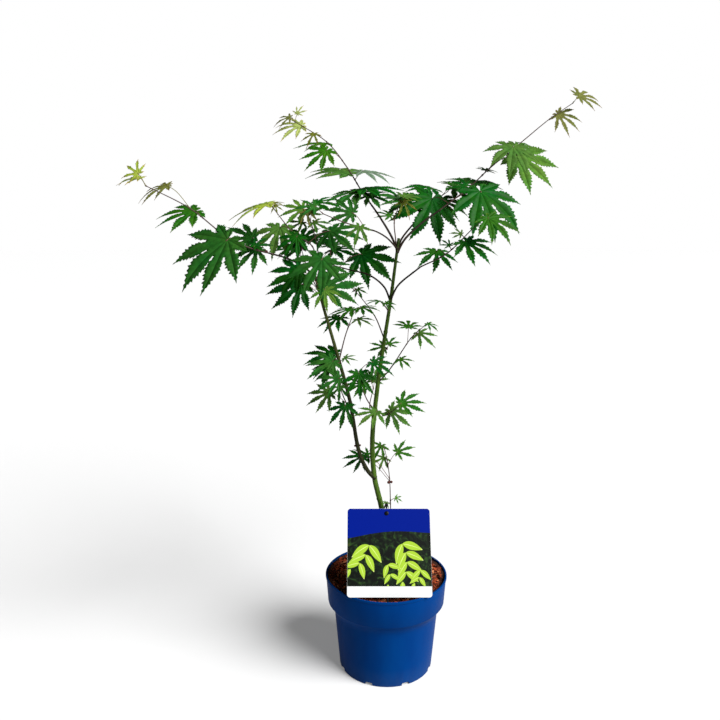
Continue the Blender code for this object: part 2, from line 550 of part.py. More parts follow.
def fuse(name, parts, key):
    """One closed solid from parts that reach into each other: a single union, applied."""
    objects = [to_object(f"{name}_{i}", bm, key) for i, bm in enumerate(parts)]
    others = bpy.data.collections.new(name + "_parts")
    bpy.context.scene.collection.children.link(others)
    for part in objects[1:]:
        bpy.context.scene.collection.objects.unlink(part)
        others.objects.link(part)
    union = objects[0].modifiers.new("union", "BOOLEAN")
    union.operation = "UNION"
    union.operand_type = "COLLECTION"
    union.collection = others
    union.solver = "MANIFOLD"
    graph = bpy.context.evaluated_depsgraph_get()
    mesh = bpy.data.meshes.new_from_object(objects[0].evaluated_get(graph))
    for part in objects:
        bpy.data.objects.remove(part)
    bpy.data.collections.remove(others)
    mesh.name = name
    made = bpy.data.objects.new(name, mesh)
    bpy.context.scene.collection.objects.link(made)
    return made


def twig_routes(grown):
    """Each spray's twig as name: (route, radii), starting GAP clear of its limb."""
    twigs = {}
    for name, (limb, start, points, _) in SPRAYS.items():
        if start is None:
            tip, before = grown[limb][0][-1], grown[limb][0][-2]
            route = smooth_route([tip] + [mm(*point) for point in points], steps=2)
            route[0] = tip + (tip - before).normalized() * GAP
        else:
            route = smooth_route([mm(*start)] + [mm(*point) for point in points], steps=2)
            if limb:
                route = clear_start(route, TWIG_RADII[0] * MM, grown[limb])
        twigs[name] = (route, limb_radii(route, TWIG_RADII[0] * MM, TWIG_RADII[1] * MM))
    return twigs


def sprays(grown, taken):
    """Makes each spray. taken holds the search trees of everything that leaves keep clear of."""
    twigs = twig_routes(grown)
    twig_trees = {name: search_tree(tube_mesh(*twig, TWIG_SIDES)) for name, twig in twigs.items()}
    for name, (limb, _, _, leaves) in SPRAYS.items():
        rng = random.Random(f"{SEED} {name}")
        leans = [(LEAF_LEAN if number % 2 else -LEAF_LEAN) + rng.uniform(-LEAN_JITTER, LEAN_JITTER)
                 for number in range(len(leaves))]
        parts = [tube_mesh(*twigs[name], TWIG_SIDES, level_foot=limb is None)]
        others = [tree for other, tree in twig_trees.items() if other != name]
        blades, stalks = [], []
        small_first = sorted(zip(leans, leaves), key=lambda row: row[1][4])
        for lean, (along, stalk, bearing, turn, blade) in small_first:
            foot = point_at(twigs[name][0], along)
            off_stalk = taken + others + blades
            fitted = fit_leaf(foot, stalk * MM, bearing, lean, turn, blade * MM,
                              off_stalk + stalks + [twig_trees[name]], off_stalk)
            if fitted:
                place, blade_tree, stalk_tree = fitted
                parts += [stalk_mesh(foot, place), leaf_mesh(blade * MM, place)]
                blades.append(blade_tree)
                stalks.append(stalk_tree)
            else:
                print("skipped", name, along, bearing)
        taken += blades + stalks
        fuse(name, parts, "spray")


def clear_scene():
    for old in list(bpy.data.objects):
        bpy.data.objects.remove(old)


def main():
    clear_scene()
    pot()
    soil()
    label()
    label_stake()
    sprays(*limbs())


main()
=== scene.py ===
"""A young maple in its nursery pot: bark, twigs, leaves, mulch, label, light and camera.

The limbs, the twigs and the place of every leaf follow the rule that made the solids. Each solid is then
replaced by the real surface in the same place: toothed, veined leaves on thin stalks, bark with relief,
loose bark mulch, a moulded pot and a printed card. Metres, Z up, the front of the plant towards -Y.
"""

import itertools
import math
import random

import bmesh
import bpy
from mathutils import Matrix, Vector, noise
from mathutils.bvhtree import BVHTree


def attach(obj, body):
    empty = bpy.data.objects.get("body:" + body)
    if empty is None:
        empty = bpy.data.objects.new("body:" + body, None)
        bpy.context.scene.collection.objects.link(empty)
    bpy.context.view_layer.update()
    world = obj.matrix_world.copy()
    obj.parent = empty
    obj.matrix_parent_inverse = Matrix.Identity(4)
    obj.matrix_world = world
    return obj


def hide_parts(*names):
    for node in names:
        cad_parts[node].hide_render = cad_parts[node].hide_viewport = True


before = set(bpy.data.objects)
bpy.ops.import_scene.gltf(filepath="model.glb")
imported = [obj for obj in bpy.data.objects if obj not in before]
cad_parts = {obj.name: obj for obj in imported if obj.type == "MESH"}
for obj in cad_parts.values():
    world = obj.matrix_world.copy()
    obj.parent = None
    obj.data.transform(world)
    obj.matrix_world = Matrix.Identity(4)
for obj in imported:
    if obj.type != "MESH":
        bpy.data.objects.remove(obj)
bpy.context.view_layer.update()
BODY = "root"

MM = 0.001
GAP = 0.3 * MM
ROUND = 60  # degrees: edges of round limbs are smoothed up to this

# Limbs: name, what it grows from, its route in mm, and its radius in mm at the foot and at the tip.
FLARE = (3.6 * MM, 14 * MM)  # how much the trunk widens at its foot, and how soon that fades
NO_FLARE = (0.0, 1.0)
TAPER_CURVE = 1.3  # over 1, a limb thins late
LIMBS = (
    ("trunk", None, ((12, 0, 140.3), (2, 3, 200), (-8, 5, 257), (-19, 5, 307), (-22, 4, 368),
                     (-15, 1, 445), (-7, -2, 506), (3, -3, 573), (11, -2, 636), (15, -1, 668)), 4.5, 2.0),
    ("left_stem", "trunk", ((-18, 5, 303), (-31, 2, 319), (-44, -3, 354), (-57, -7, 432),
                            (-78, -12, 512), (-94, -16, 570), (-106, -18, 617)), 3.1, 1.9),
    ("far_left_bough", "left_stem", ((-103, -18, 609), (-118, -26, 626), (-142, -37, 640),
                                     (-168, -46, 648)), 1.5, 1.1),
    ("top_left_bough", "trunk", ((13, -2, 652), (3, 8, 674), (-14, 21, 702), (-31, 33, 726)), 1.7, 1.2),
    ("right_bough", "trunk", ((13, -2, 648), (25, 1, 668), (49, 10, 690), (76, 18, 709)), 1.7, 1.3),
    ("back_bough", "trunk", ((14, -2, 656), (24, 26, 672), (52, 76, 702)), 1.5, 1.1),
    ("inner_left_bough", "trunk", ((13, -2, 653), (-2, -18, 668), (-18, -42, 677), (-33, -60, 681)),
     1.2, 0.9),
    ("lower_right_bough", "trunk", ((4, -3, 580), (15, -20, 603), (42, -55, 629)), 1.4, 1.1),
    ("lower_left_bough", "trunk", ((4, -3, 576), (-6, 12, 598), (-28, 28, 614), (-58, 45, 621)), 1.4, 1.1),
)
LIMB_SIDES = {"trunk": 8, "left_stem": 7}  # of the solids' own limbs; FINE_SIDES are the real surface's
BOUGH_SIDES = 5
CLEAR_STEPS = 200  # places tried along a limb for its foot, each with a ring of CLEAR_CORNERS
CLEAR_CORNERS = 12
CLEAR_SKIP = 0.01  # share of the limb that is left free of route points after its foot

# Leaves, as on the solids: how each blade finds its place. Angles are in degrees.
STALK_RISE = 1.0
LEAF_LEAN = 20
LEAN_JITTER = 5
BLADE_LEAN = 0.3  # the blade leans this share of what its stalk does
OUTWARD = 6  # a face OUTWARD_REACH out from OUTWARD_FROM is turned away from it by this
OUTWARD_FROM = -20 * MM
OUTWARD_REACH = 120 * MM
LEAN_TRIALS = (0, 14, -14, 28, -28)
DEPTH_TRIALS = (0, 8, -8, 16, -16, 24, -24, 32, -32, 40, -40)
SWING_TRIALS = (0, 10, -10, 20, -20)
TRIAL_COSTS = (1 / 14, 1 / 8, 1 / 4)
SEED = 11
TWIG_RADII = (1.1, 0.6)
STALK_RADIUS = 0.7 * MM
STALK_ARCH = 0.1
STALK_KNEE = 0.55
STRAIGHT_STALK = 15 * MM
TWIG_SIDES = 3
# Half the lobes from the midrib round: angle, and length as a share of the blade.
LOBES = ((0, 1.0), (31, 0.93), (64, 0.74), (102, 0.42))
SMALL_LOBES = ((0, 1.0), (38, 0.86), (82, 0.55))
SMALL_BLADE = 34 * MM
LOBE_HALF_WIDTH = 0.115
LOBE_SHOULDER = 0.55
SHOULDERED_LENGTH = 45 * MM
NOTCH = 0.27
SHALLOW_NOTCH = 0.36
SHORT_NOTCH = 0.35  # beside a lobe shorter than 1 - this share, a notch is less deep
STALK_CORNER = (180, 0.06)
DROOP = 0.1
PLATE_MIDDLE = 0.04  # where the plate's faces meet, as a share of the blade
BLADE_THICKNESS = (0.8 * MM, 0.015)
TEST_MARGIN = 0.5 * MM

# Sprays, as on the solids: limb, where the twig leaves it (None: at its tip), the twig's other points in mm,
# leaves, and a letter for each leaf: how old it is, or K, painted shade for leaves on the shaded side. A leaf
# is how far along the twig it stands, stalk in mm, bearing of the midrib seen from the front in degrees
# clockwise from straight up, degrees that its face is turned up from square-on, and blade in mm.
SPRAYS = {
    "far_left_spray": (
        "far_left_bough", None,
        ((-189, -55, 654), (-222, -65, 670), (-266, -80, 707), (-318, -97, 735)),
        ((0.01, 30, 265, 40, 51), (0.12, 4, 45, 42, 32), (0.06, 9, 222, 42, 46), (0.27, 4, 236, 46, 92),
         (0.57, 14, 250, 60, 60), (0.66, 46, 262, 66, 46), (1.0, 15, 268, 72, 34), (1.0, 17, 303, 25, 32)),
        "KKKKMOLL"),
    "left_crown_spray": (
        "left_stem", None,
        ((-105, -24, 637), (-109, -29, 658), (-136, -37, 678), (-162, -50, 712)),
        ((0.4, 36, 126, 50, 58), (0.5, 6, 215, 38, 41), (0.62, 32, 196, 40, 56), (0.96, 8, 264, 76, 62),
         (1.0, 5, 95, 70, 17), (1.0, 5, 160, 50, 17)),
        "KDMLOO"),
    "red_twig_spray": (
        "left_stem", (-104, -18, 606),
        ((-100, -6, 628), (-104, 2, 660), (-112, -2, 692), (-118, -8, 706)),
        ((0.74, 18, 240, 40, 27), (0.8, 4, 105, 60, 31), (0.85, 10, 20, 42, 31), (1.0, 6, 257, 40, 40),
         (1.0, 17, 95, 64, 46), (1.0, 4, 170, 40, 27)),
        "FMMFDO"),
    "left_front_spray": (
        "left_stem", (-98, -17, 585),
        ((-97, -40, 600), (-94, -65, 622), (-88, -80, 640)),
        ((0.02, 34, 230, 30, 58), (0.08, 9, 78, 38, 61), (0.22, 9, 174, 40, 36), (0.32, 38, 252, 40, 54),
         (1.0, 4, 212, 34, 62)),
        "KKFDK"),
    "left_back_spray": (
        "left_stem", (-92, -15, 562),
        ((-103, 16, 590), (-121, 46, 622), (-132, 76, 650)),
        ((0.35, 24, 250, 60, 46), (0.55, 26, 95, 60, 50), (0.8, 26, 275, 70, 44), (1.0, 20, 80, 70, 48),
         (1.0, 16, 10, 60, 50)),
        "DKKDK"),
    "inner_left_spray": (
        "inner_left_bough", None,
        ((-62, -75, 689), (-90, -85, 700)),
        ((0.02, 27, 280, 32, 42), (0.08, 6, 200, 38, 33), (1.0, 14, 265, 45, 32)),
        "KMD"),
    "lower_left_spray": (
        "lower_left_bough", None,
        ((-85, 62, 628), (-115, 85, 640)),
        ((0.24, 42, 128, 42, 70), (0.5, 28, 10, 60, 44), (0.75, 24, 100, 70, 50), (1.0, 24, 262, 60, 44)),
        "KDKD"),
    "top_left_spray": (
        "top_left_bough", None,
        ((-41, 40, 741), (-62, 54, 775), (-92, 70, 812), (-141, 90, 844)),
        ((0.01, 5, 110, 60, 47), (0.02, 12, 266, 78, 62), (0.08, 5, 88, 77, 64), (0.2, 18, 95, 82, 52),
         (0.24, 6, 280, 76, 76), (0.44, 24, 232, 44, 47), (0.63, 4, 262, 74, 52), (0.76, 4, 212, 50, 28),
         (0.9, 6, 258, 50, 48), (1.0, 9, 262, 50, 29), (1.0, 13, 35, 30, 19)),
        "DDDGMFFOLOL"),
    "upright_spray": (
        "trunk", (13, -2, 644),
        ((11, 12, 668), (10, 28, 694), (19, 40, 722)),
        ((0.6, 10, 285, 60, 30), (0.98, 6, 150, 38, 30), (1.0, 8, 285, 60, 28), (1.0, 8, 60, 60, 34)),
        "MOGM"),
    "right_spray": (
        "right_bough", None,
        ((121, 30, 743), (158, 40, 777), (199, 50, 809), (240, 60, 842), (277, 68, 867)),
        ((0.06, 30, 208, 28, 84), (0.1, 43, 157, 44, 87), (0.22, 6, 64, 76, 70), (0.2, 4, 300, 40, 30),
         (0.34, 62, 131, 32, 76), (0.34, 4, 45, 60, 28), (0.56, 6, 78, 66, 40), (0.56, 4, 203, 58, 66),
         (0.84, 15, 126, 28, 42), (1.0, 12, 78, 44, 46)),
        "DDDDFMMMOO"),
    "back_spray": (
        "back_bough", None,
        ((80, 105, 728), (100, 125, 742)),
        ((0.15, 26, 250, 65, 60), (0.2, 26, 105, 60, 56), (0.75, 20, 262, 72, 54), (0.8, 20, 105, 66, 56),
         (1.0, 14, 60, 78, 40)),
        "DMDDM"),
    "lower_right_spray": (
        "lower_right_bough", None,
        ((76, -75, 648), (104, -88, 677), (118, -94, 691)),
        ((0.38, 20, 190, 54, 47), (0.48, 6, 315, 40, 17), (0.56, 13, 132, 52, 50), (0.7, 6, 285, 40, 17),
         (1.0, 8, 134, 46, 50)),
        "DDDMM"),
    "mid_left_spray": (
        "trunk", (-5, -2, 521),
        ((-18, 25, 551), (-38, 42, 577), (-50, 50, 589)),
        ((1.0, 7, 150, 38, 21), (1.0, 8, 300, 60, 26)),
        "MM"),
    "mid_right_spray": (
        "trunk", (-13, 1, 455),
        ((6, -14, 482), (32, -30, 526), (51, -40, 546)),
        ((0.36, 7, 120, 58, 25), (0.66, 24, 5, 62, 35), (0.76, 13, 130, 44, 33), (1.0, 5, 108, 70, 20)),
        "MMMM"),
    "low_right_spray": (
        "trunk", (-19, 2, 414),
        ((-3, -25, 411), (15, -45, 430)),
        ((0.34, 13, 243, 62, 40), (0.56, 4, 122, 36, 42), (0.96, 6, 85, 52, 40)),
        "MMM"),
    "low_left_spray": (
        "trunk", (-19, 2, 412),
        ((-30, -20, 432), (-41, -40, 462), (-45, -55, 480)),
        ((1.0, 10, 176, 12, 41), (1.0, 28, 105, 56, 36)),
        "DK"),
    "low_back_spray": (
        "trunk", (-21, 3, 396),
        ((-26, 26, 412), (-20, 52, 434)),
        ((0.9, 20, 250, 60, 38), (1.0, 18, 325, 60, 34), (1.0, 12, 20, 60, 36)),
        "MDM"),
    "stem_up_spray": (
        "left_stem", (-72, -11, 490),
        ((-63, -2, 525), (-54, 7, 550), (-50, 10, 562)),
        ((0.64, 18, 105, 70, 30), (0.68, 19, 246, 73, 42), (0.9, 17, 108, 72, 34), (1.0, 4, 264, 80, 42)),
        "MDMM"),
    "stem_front_spray": (
        "left_stem", (-71, -10, 482),
        ((-76, -24, 493), (-78, -32, 497)),
        ((0.1, 13, 100, 60, 21), (0.3, 7, 245, 45, 48), (0.6, 5, 262, 68, 52)),
        "MDK"),
    "stem_back_spray": (
        "left_stem", (-68, -9, 458),
        ((-78, 16, 462), (-88, 40, 468)),
        ((0.8, 8, 232, 52, 30), (1.0, 6, 244, 60, 32), (1.0, 6, 275, 70, 28)),
        "DDK"),
    "stem_low_spray": (
        "left_stem", (-60, -8, 422),
        ((-64, -26, 436), (-69, -40, 455), (-67, -44, 470)),
        ((0.08, 5, 190, 22, 40), (0.1, 32, 250, 44, 40), (0.72, 5, 185, 38, 26), (1.0, 4, 250, 40, 38)),
        "KMDD"),
    "pair_spray": (
        "trunk", (-7, -2, 503),
        ((-4, 12, 503), (0, 22, 502)),
        ((1.0, 6, 255, 42, 28), (1.0, 8, 35, 50, 27)),
        "MM"),
    "short_spray": (
        "trunk", (1, -3, 562),
        ((-4, -14, 570), (-8, -22, 574)),
        ((0.7, 10, 265, 80, 25), (1.0, 5, 110, 60, 19)),
        "DM"),
    "foot_spray": (
        None, (9, -17, 140.3),
        ((8, -12, 200), (6, -6, 262), (5, 0, 297), (3, 7, 318), (0, 14, 334), (-3, 18, 346)),
        ((0.6, 10, 200, 38, 13), (0.62, 10, 110, 38, 13), (0.76, 54, 246, 48, 35), (1.0, 5, 215, 42, 30),
         (0.78, 48, 266, 52, 31), (0.92, 5, 212, 46, 25), (0.88, 24, 76, 48, 33)),
        "FFKMDMM"),
}

# Leaf colours by how old a leaf is, with K for painted shade: name, and sRGB colours of the upper face, the
# veins, the underside and the lobes' tips.
AGES_AND_SHADE = {
    # K: painted shade, a darker copy of D for leaves on the shaded left and back of the plant.
    "K": ("deep", "#053804", "#0F4509", "#174210", "#143D0D"),
    "D": ("dark", "#084106", "#16510E", "#204D17", "#1B4712"),
    "M": ("green", "#1B4808", "#2B5714", "#36561E", "#385817"),
    "F": ("fresh", "#215106", "#345F14", "#3B5E1C", "#445D1D"),
    "L": ("lime", "#73862B", "#858E45", "#7C8648", "#887B3F"),
    "O": ("olive", "#485012", "#595C1F", "#525627", "#605225"),
    "G": ("silvery", "#355034", "#4A6043", "#516450", "#606F56"),
}
YOUNG_AGES = "LO"
HEAP_FACES = 60000  # a heap of leaves past this many faces is followed by another

# Bare nodes with a bud: place in mm, outward direction, and size against an ordinary bud.
BARE_BUDS = (((-47.5, -3.5, 357), (-1, -0.3, 0.5), 1.5), ((-42, -4, 358), (1, -0.4, 0.5), 1.5),
             ((4, -1.5, 298), (-0.8, -0.6, 0.5), 2.1), ((6, -1.5, 298.5), (0.9, -0.3, 0.5), 1.9),
             ((-170, -46.5, 649.5), (-0.2, -0.6, 0.8), 1.5))

# Mulch: name, darkest and palest colour, and how common.
CHIP_TONES = (("brown_bark_chips", "#4E2112", "#7B3820", 5), ("red_bark_chips", "#602412", "#934224", 5),
              ("dark_bark_chips", "#250F08", "#441D12", 3), ("pale_bark_chips", "#885234", "#AC714A", 1))
BED_RINGS = 34
BED_DEPTH = 14 * MM

# The label's print, in its own metres up from the card's foot.
STRIP_HEIGHT = 15.5 * MM
HEAD_FOOT = 84 * MM
HEAD_CREST = 6 * MM
HEAD_TILT = 8 * MM
# Printed sprigs: x, y, heading in degrees, length, pairs of leaflets and their size in mm.
PRINTED_SPRIGS = ((-30, 74, -100, 44, 4, 31), (20, 76, -62, 54, 5, 31), (46, 38, -88, 20, 3, 20),
                  (-2, 46, -62, 28, 3, 20))
SPRIG_ARCH = 0.5  # radians that a sprig turns over its length
SPRIG_TAPER = 0.35  # how much smaller its last leaflet is
SPRIG_EDGE = 0.6 * MM
END_LEAFLET = (0.2, 0.05)  # half width and bend, as shares of the leaflet
SIDE_LEAFLET = (0.19, -0.15, 0.95)  # the same, and radians that it stands off its sprig
OVAL_LEAN = 0.8  # under 1, an oval is widest near its stalk
OVAL_FULLNESS = 0.9
OUTER_COLUMN = 0.75  # columns nearer the middle than this, of 1, edge the midrib
PRINTED_VEIN = 0.12  # half width of a printed midrib, as a share of its leaflet's
PALE_STRIP = 0.3  # faces nearer the midrib than this share of the leaflet's half width are the paler ink
VEIN_FADE = 0.6
FIELD_OVERLAP = 4 * MM  # how far the dark field runs up under the blue head
PRINT_EDGE = 0.15 * MM  # bare card round the print

# Light: the lamp's direction and size, and how bright the surround lights and looks.
FLOOR_RADIUS = 40
FLOOR_GAP = 0.2 * MM
KEY_FROM = (1.02, -0.72, 1.0)
KEY_SIZE = 40  # degrees
KEY_STRENGTH = 9.2
AMBIENT = 0.06
BACKDROP = 1.0
FLOOR_GLOW = 0.2  # keeps the shadow on the floor pale
SHEEN = 0.1  # specular level of dull skins, lower than a bare dielectric's

# Blades: nine lobes on a grown leaf, seven on a small one, each a toothed strip round its own midrib.
FINE_LOBES = LOBES + ((139, 0.2),)
FINE_SMALL_LOBES = SMALL_LOBES + ((124, 0.26),)
SPREAD_JITTER = 2
LENGTH_JITTER = (0.95, 1.02)
SHEET = 0.28 * MM  # a blade's thickness
FULL_BLADE = (36 * MM, 72 * MM)  # over these lengths the lobes go from slim and deeply cut to broad
LOBE_WIDEST = (0.09, 0.126)  # half width of a full lobe, as a share of the blade
FINE_NOTCH = (0.2, 0.29)  # how far out a notch lies, as a share of the blade
LOBE_PROFILE = ((0.0, 0.26), (0.25, 0.42), (0.36, 0.66), (0.48, 0.92), (0.56, 1.0), (0.66, 0.9), (0.77, 0.6),
                (0.87, 0.27), (0.94, 0.1), (1.0, 0.0))  # share of the lobe's length, and of its widest
FOOT_STATIONS = 3  # from the stalk out to the notch between two lobes
FOOT_EASE = 0.12  # over this share of the blade a lobe goes from its notch's width to its own
FEWEST_TEETH = 3
TEETH = ((50 * MM, 12), (34 * MM, 8), (0, 5))  # blades longer than this have so many teeth a side
TOOTH_DEPTH = 0.01  # half a tooth's height, where the lobe is wider than TOOTH_FADE
TOOTH_FADE = 0.06
TOOTH_SIZES = (1.7, 0.45)  # every other tooth is a large one
TOOTH_GROWTH = (0.5, 1.5)  # times that, from the lobe's foot to its tip
TOOTH_LEAN = 0.4  # how far a tooth's point leads its own middle, in half teeth
TIP_STATIONS = 3  # the tip of each lobe, paler than the blade
VEIN_LEAD = 0.072  # a side vein runs this share of the blade forward to the edge
NEAREST_VEIN = 0.4  # the first side vein starts at least this share of the way to the notch
VEIN_HALF_WIDTH = 0.32 * MM
VEIN_TAPER = 1.1  # a main vein's width at the stalk, which falls by 1 along the blade
WIDEST_VEIN = 0.35  # at most this share of the lobe's own half width
COLUMN_SHARES = {1: 0.0, 2: 0.55, 3: 1.0}  # where each column of a lobe lies, from the vein's edge outwards
QUILT_COLUMN = 2
GROOVE = 0.16 * MM
PLEAT = 0.2  # rise of a lobe's edges over its midrib
QUILT = 0.2 * MM
BEND_FROM = 0.3  # lobes bend, droop and twist past this share of the blade
SMALL_ROLL = 0.25  # slope across a lobe that is twisted most
STALK_GAP = (24, 0.1)  # half angle and depth of the cleft where the stalk meets the blade
SMALL_BEND = 6  # degrees that a lobe may curve aside
TIP_DROP = (0.04, 0.16)
YOUNG_TIP_DROP = (0.1, 0.25)  # young lobes hang more and are narrower
YOUNG_NARROWING = 0.8
LOBE_WELD = 0.02 * MM
UPPER, VEIN, UNDERSIDE, TIP = range(4)
UNDERSIDE_LEVEL = 0.2  # a face whose normal rises less than this belongs to the underside

# Bark and twigs.
STEM_STEP = 1.2 * MM
FINE_SIDES = {"trunk": 36, "left_stem": 28}
FINE_BOUGH_SIDES = 14
FINE_TWIG_SIDES = 8
FINE_STALK_SIDES = 7
COLLAR = (1.3 * MM, 5 * MM)  # how much a limb widens where it leaves another, and how soon that fades
BOUGH_COLLAR = (0.9 * MM, 4 * MM)
NODE_SPACING = 66 * MM
NODE_RISE = 0.42 * MM
NODE_WIDTH = 1.5 * MM
NODE_GROOVE = (0.5, 1.6, 0.5)  # depth in rises, then height over the ring and width in its own widths
RIDGE_SWINGS, RIDGE_RISE = (900, 900, 90), 0.16 * MM  # swings a metre along each axis
GRAIN_SWINGS, GRAIN_RISE = (2600, 2600, 900), 0.06 * MM
PORE_SWINGS, PORE_RISE = (700, 700, 330), 1.1 * MM
PORE_SHIFT = 9
PORE_LEVEL = 0.42  # only noise over this makes a pore
FINE_STEPS = 12  # points on each span of a limb's or twig's route
TWIG_STEP = 1.5 * MM
TWIG_COLLAR = (0.5 * MM, 3 * MM)  # where a twig leaves the side of a limb
TWIG_JOIN = (0.1 * MM, 3 * MM)  # where it runs on from a limb's tip
TWIG_SLIMMING = 0.92
TWIG_NODE = (0.35 * MM, 1.3 * MM)  # rise and width of the swelling at each pair of leaves
STALK_STEP = 1.6 * MM
STALK_END = (0.035, -0.4 * MM)  # how far under the blade a stalk ends: share of it, and height
STALK_RADII = (0.36 * MM, 0.52 * MM)  # under the smallest blade, and under a STOUT_BLADE
STOUT_BLADE = 80 * MM
STALK_CLASP = (0.5 * MM, 1.6 * MM)  # what a stalk gains at its foot, and how soon that fades
STALK_SWELL = (0.2 * MM, 2.5 * MM)
BUD = (1.1 * MM, 2.3 * MM)  # radius and length
BUD_POINT = 0.35
BUD_LIFT = 0.35  # share of its length that a bud's middle stands over its foot
BUDDED_BLADE = 20 * MM  # smaller blades have no bud in their axil
AXIL_BUD_RADIUS = 0.55 * MM
AXIL_BUD_LENGTHS = (1.3 * MM, 2.0 * MM)
AXIL_BUD_OUT = 1.0 * MM
AXIL_BUD_UP = 0.8 * MM
CUT_PROFILE = ((0, 0.35), (0.72, 0.3), (0.9, 0.1), (0.95, -0.6), (0, -0.6))  # share of the tip's radius, mm

# Pot, as on the solids.
POT_HEIGHT = 150 * MM
LIP_RADIUS = 95 * MM
LIP_DEPTH = 3.5 * MM
LIP_STEP = 1 * MM
BAND_FOOT = (91.3 * MM, 108 * MM)  # radius and height of the upper band's foot, then of the body's top
BODY_TOP = (80.5 * MM, 84 * MM)
POT_FOOT_RADIUS = 73.2 * MM
POT_WALL = 1.6 * MM
POT_FLOOR = 2.4 * MM
POT_SEGMENTS = 144
POT_SWELL = ((0.0, 0.0), (0.28, 0.16), (0.62, 0.38), (0.87, 0.66), (1.0, 1.0))  # from band to body
CORNER_LIMIT = 0.45  # a rounded corner takes at most this share of the line beside it
UPPER_ROUNDING = 0.7 * MM
FOOT_ROUNDING = 0.8 * MM
FOOT_RING = 5 * MM  # under the pot: the ring that it stands on, and the recess within it
RECESS = 0.6 * MM
FEED_RADIUS = 3 * MM
FEED_GAP = 0.1 * MM
DRAIN_COUNT = 8
DRAIN_SIZE = (12 * MM, 14 * MM, 9 * MM)  # round the pot, along its radius, and up
DRAIN_ROUNDING = 1.5 * MM

# Mulch: a dark bed under loose chips.
SOIL_LEVEL = 140 * MM
SOIL_EDGE = 91.2 * MM
BED_SINK = 1.5 * MM  # how far the bed lies under the soil's level at the stem
BED_BANK = 7.5 * MM  # the mulch is banked up against the wall, except at the front
BED_SEGMENTS = 120
BED_FLAT = 20 * MM  # flat from the stem out to here, and fully uneven BED_FADE farther out
BED_FADE = 40 * MM
BED_HEAP = 2.5 * MM  # highest a quarter turn on from BED_HEAP_TURN, in radians
BED_HEAP_TURN = 0.6
BED_LUMPS = ((60, 3.0), (170, 7.0))  # swings a metre, and which layer of the noise
BED_ROUGHNESS = 1.6 * MM
BED_GRAIN = 0.5 * MM
BANK_CURVE = 1.5
CHIPS = 2300
CHIP_SHAPES = 14
CHIP_LENGTH = (2.6 * MM, 11 * MM)
CHIP_RARITY = 2.2  # long chips are rare
CHIP_WIDTH = (0.25, 0.55)  # share of its length
CHIP_THICKNESS = (1.0 * MM, 2.2 * MM)
CHIP_LIFT = (0.2 * MM, 1.4 * MM)
CHIP_TILTS = (0.35, 0.3)  # radians, usual tilt about its length and across it
CHIP_ROOM = 5 * MM  # from the bed's edge to the middle of the nearest chip
CHIPS_FROM = 0.006  # share of the bed's area that stays bare round its middle
WALL_CLEARANCE = 1.6  # a chip is at most this many times as long as its way to the wall
STEM_ROOM = 11 * MM
CHIP_BEVEL = 0.09  # on a flake 1 by 1 by 1, as its skew and knocks are
CHIP_SKEW = 0.3
CHIP_KNOCKS = (0.07, 0.08, 0.12)

# Label, as on the solids.
LABEL_WIDTH = 125 * MM
LABEL_LENGTH = 128 * MM
LABEL_THICKNESS = 0.8 * MM
LABEL_CORNER = 4.5 * MM
LABEL_LEAN = 29  # degrees back from upright
LABEL_FOOT = (2.5 * MM, -80.5 * MM, 150.7 * MM)
HOLE_RADIUS = 2.5 * MM
HOLE_BELOW_TOP = 7 * MM
HOLE_OFFSET = -3 * MM
STAKE_RADIUS = 1.3 * MM
STAKE_ABOVE = 6 * MM
STAKE_BELOW = 8.6 * MM
KNOB_RADIUS = 2.6 * MM
PIN_RADIUS = 1.9 * MM
PIN_HEAD_RADIUS = 3.2 * MM
PIN_HEAD_RISE = (0.42 * MM, 0.78 * MM)  # of the head's brim, and of its dome over that
STAKE_STEP = 7 * MM
INK = 0.05 * MM  # the blue print is this thick, the dark one half of it, and the leaf print lies over that
INK_STEP = 0.006 * MM  # from one printed leaflet to the next
LEAF_PRINT_LEVEL = 0.8 * INK
LEAF_PRINT_THICKNESS = 0.3 * INK

# Camera and light.
CAMERA_PLACE = (-41 * MM, -1014 * MM, 668 * MM)
CAMERA_PITCH = 10  # degrees below level
CAMERA_LENS = 34.5  # mm on a 36 mm wide sensor


def mm(*values):
    return Vector(values) * MM


def linear(hex_colour):
    """An sRGB colour such as "#0A4A8C" as linear red, green, blue and alpha."""
    channels = [int(hex_colour[i:i + 2], 16) / 255 for i in (1, 3, 5)]
    return [c / 12.92 if c <= 0.04045 else ((c + 0.055) / 1.055) ** 2.4 for c in channels] + [1.0]


def lerp(a, b, share):
    return a + (b - a) * share


def on_profile(profile, x):
    """The height of a broken line of (x, height) points at x."""
    for (x0, y0), (x1, y1) in zip(profile, profile[1:]):
        if x <= x1:
            return lerp(y0, y1, max(0.0, (x - x0) / (x1 - x0)))
    return profile[-1][1]


# ---------------------------------------------------------------- making pieces

def smooth(mesh, degrees):
    """Shades the mesh smooth, but for edges that turn by more than this."""
    mesh.shade_smooth()
    mesh.set_sharp_from_angle(angle=math.radians(degrees))


def to_object(name, bm, materials, smooth_degrees=None):
    """The bmesh as an object in the scene; frees the bmesh."""
    mesh = bpy.data.meshes.new(name)
    bm.to_mesh(mesh)
    bm.free()
    for material in materials:
        mesh.materials.append(material)
    if smooth_degrees is not None:
        smooth(mesh, smooth_degrees)
    made = bpy.data.objects.new(name, mesh)
    bpy.context.scene.collection.objects.link(made)
    return made


def carried(made, replaced=()):
    """Puts a finished piece on the plant's body. It stands for the solids that it replaces."""
    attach(made, BODY)
    if replaced:
        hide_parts(*replaced)


def piece(name, bm, materials, replaced=(), smooth_degrees=None):
    """A finished piece, made from its bmesh."""
    carried(to_object(name, bm, materials, smooth_degrees), replaced)


def pour(target, source):
    """Adds the bmesh source to target, and frees source."""
    mesh = bpy.data.meshes.new("poured")
    source.to_mesh(mesh)
    source.free()
    target.from_mesh(mesh)
    bpy.data.meshes.remove(mesh)


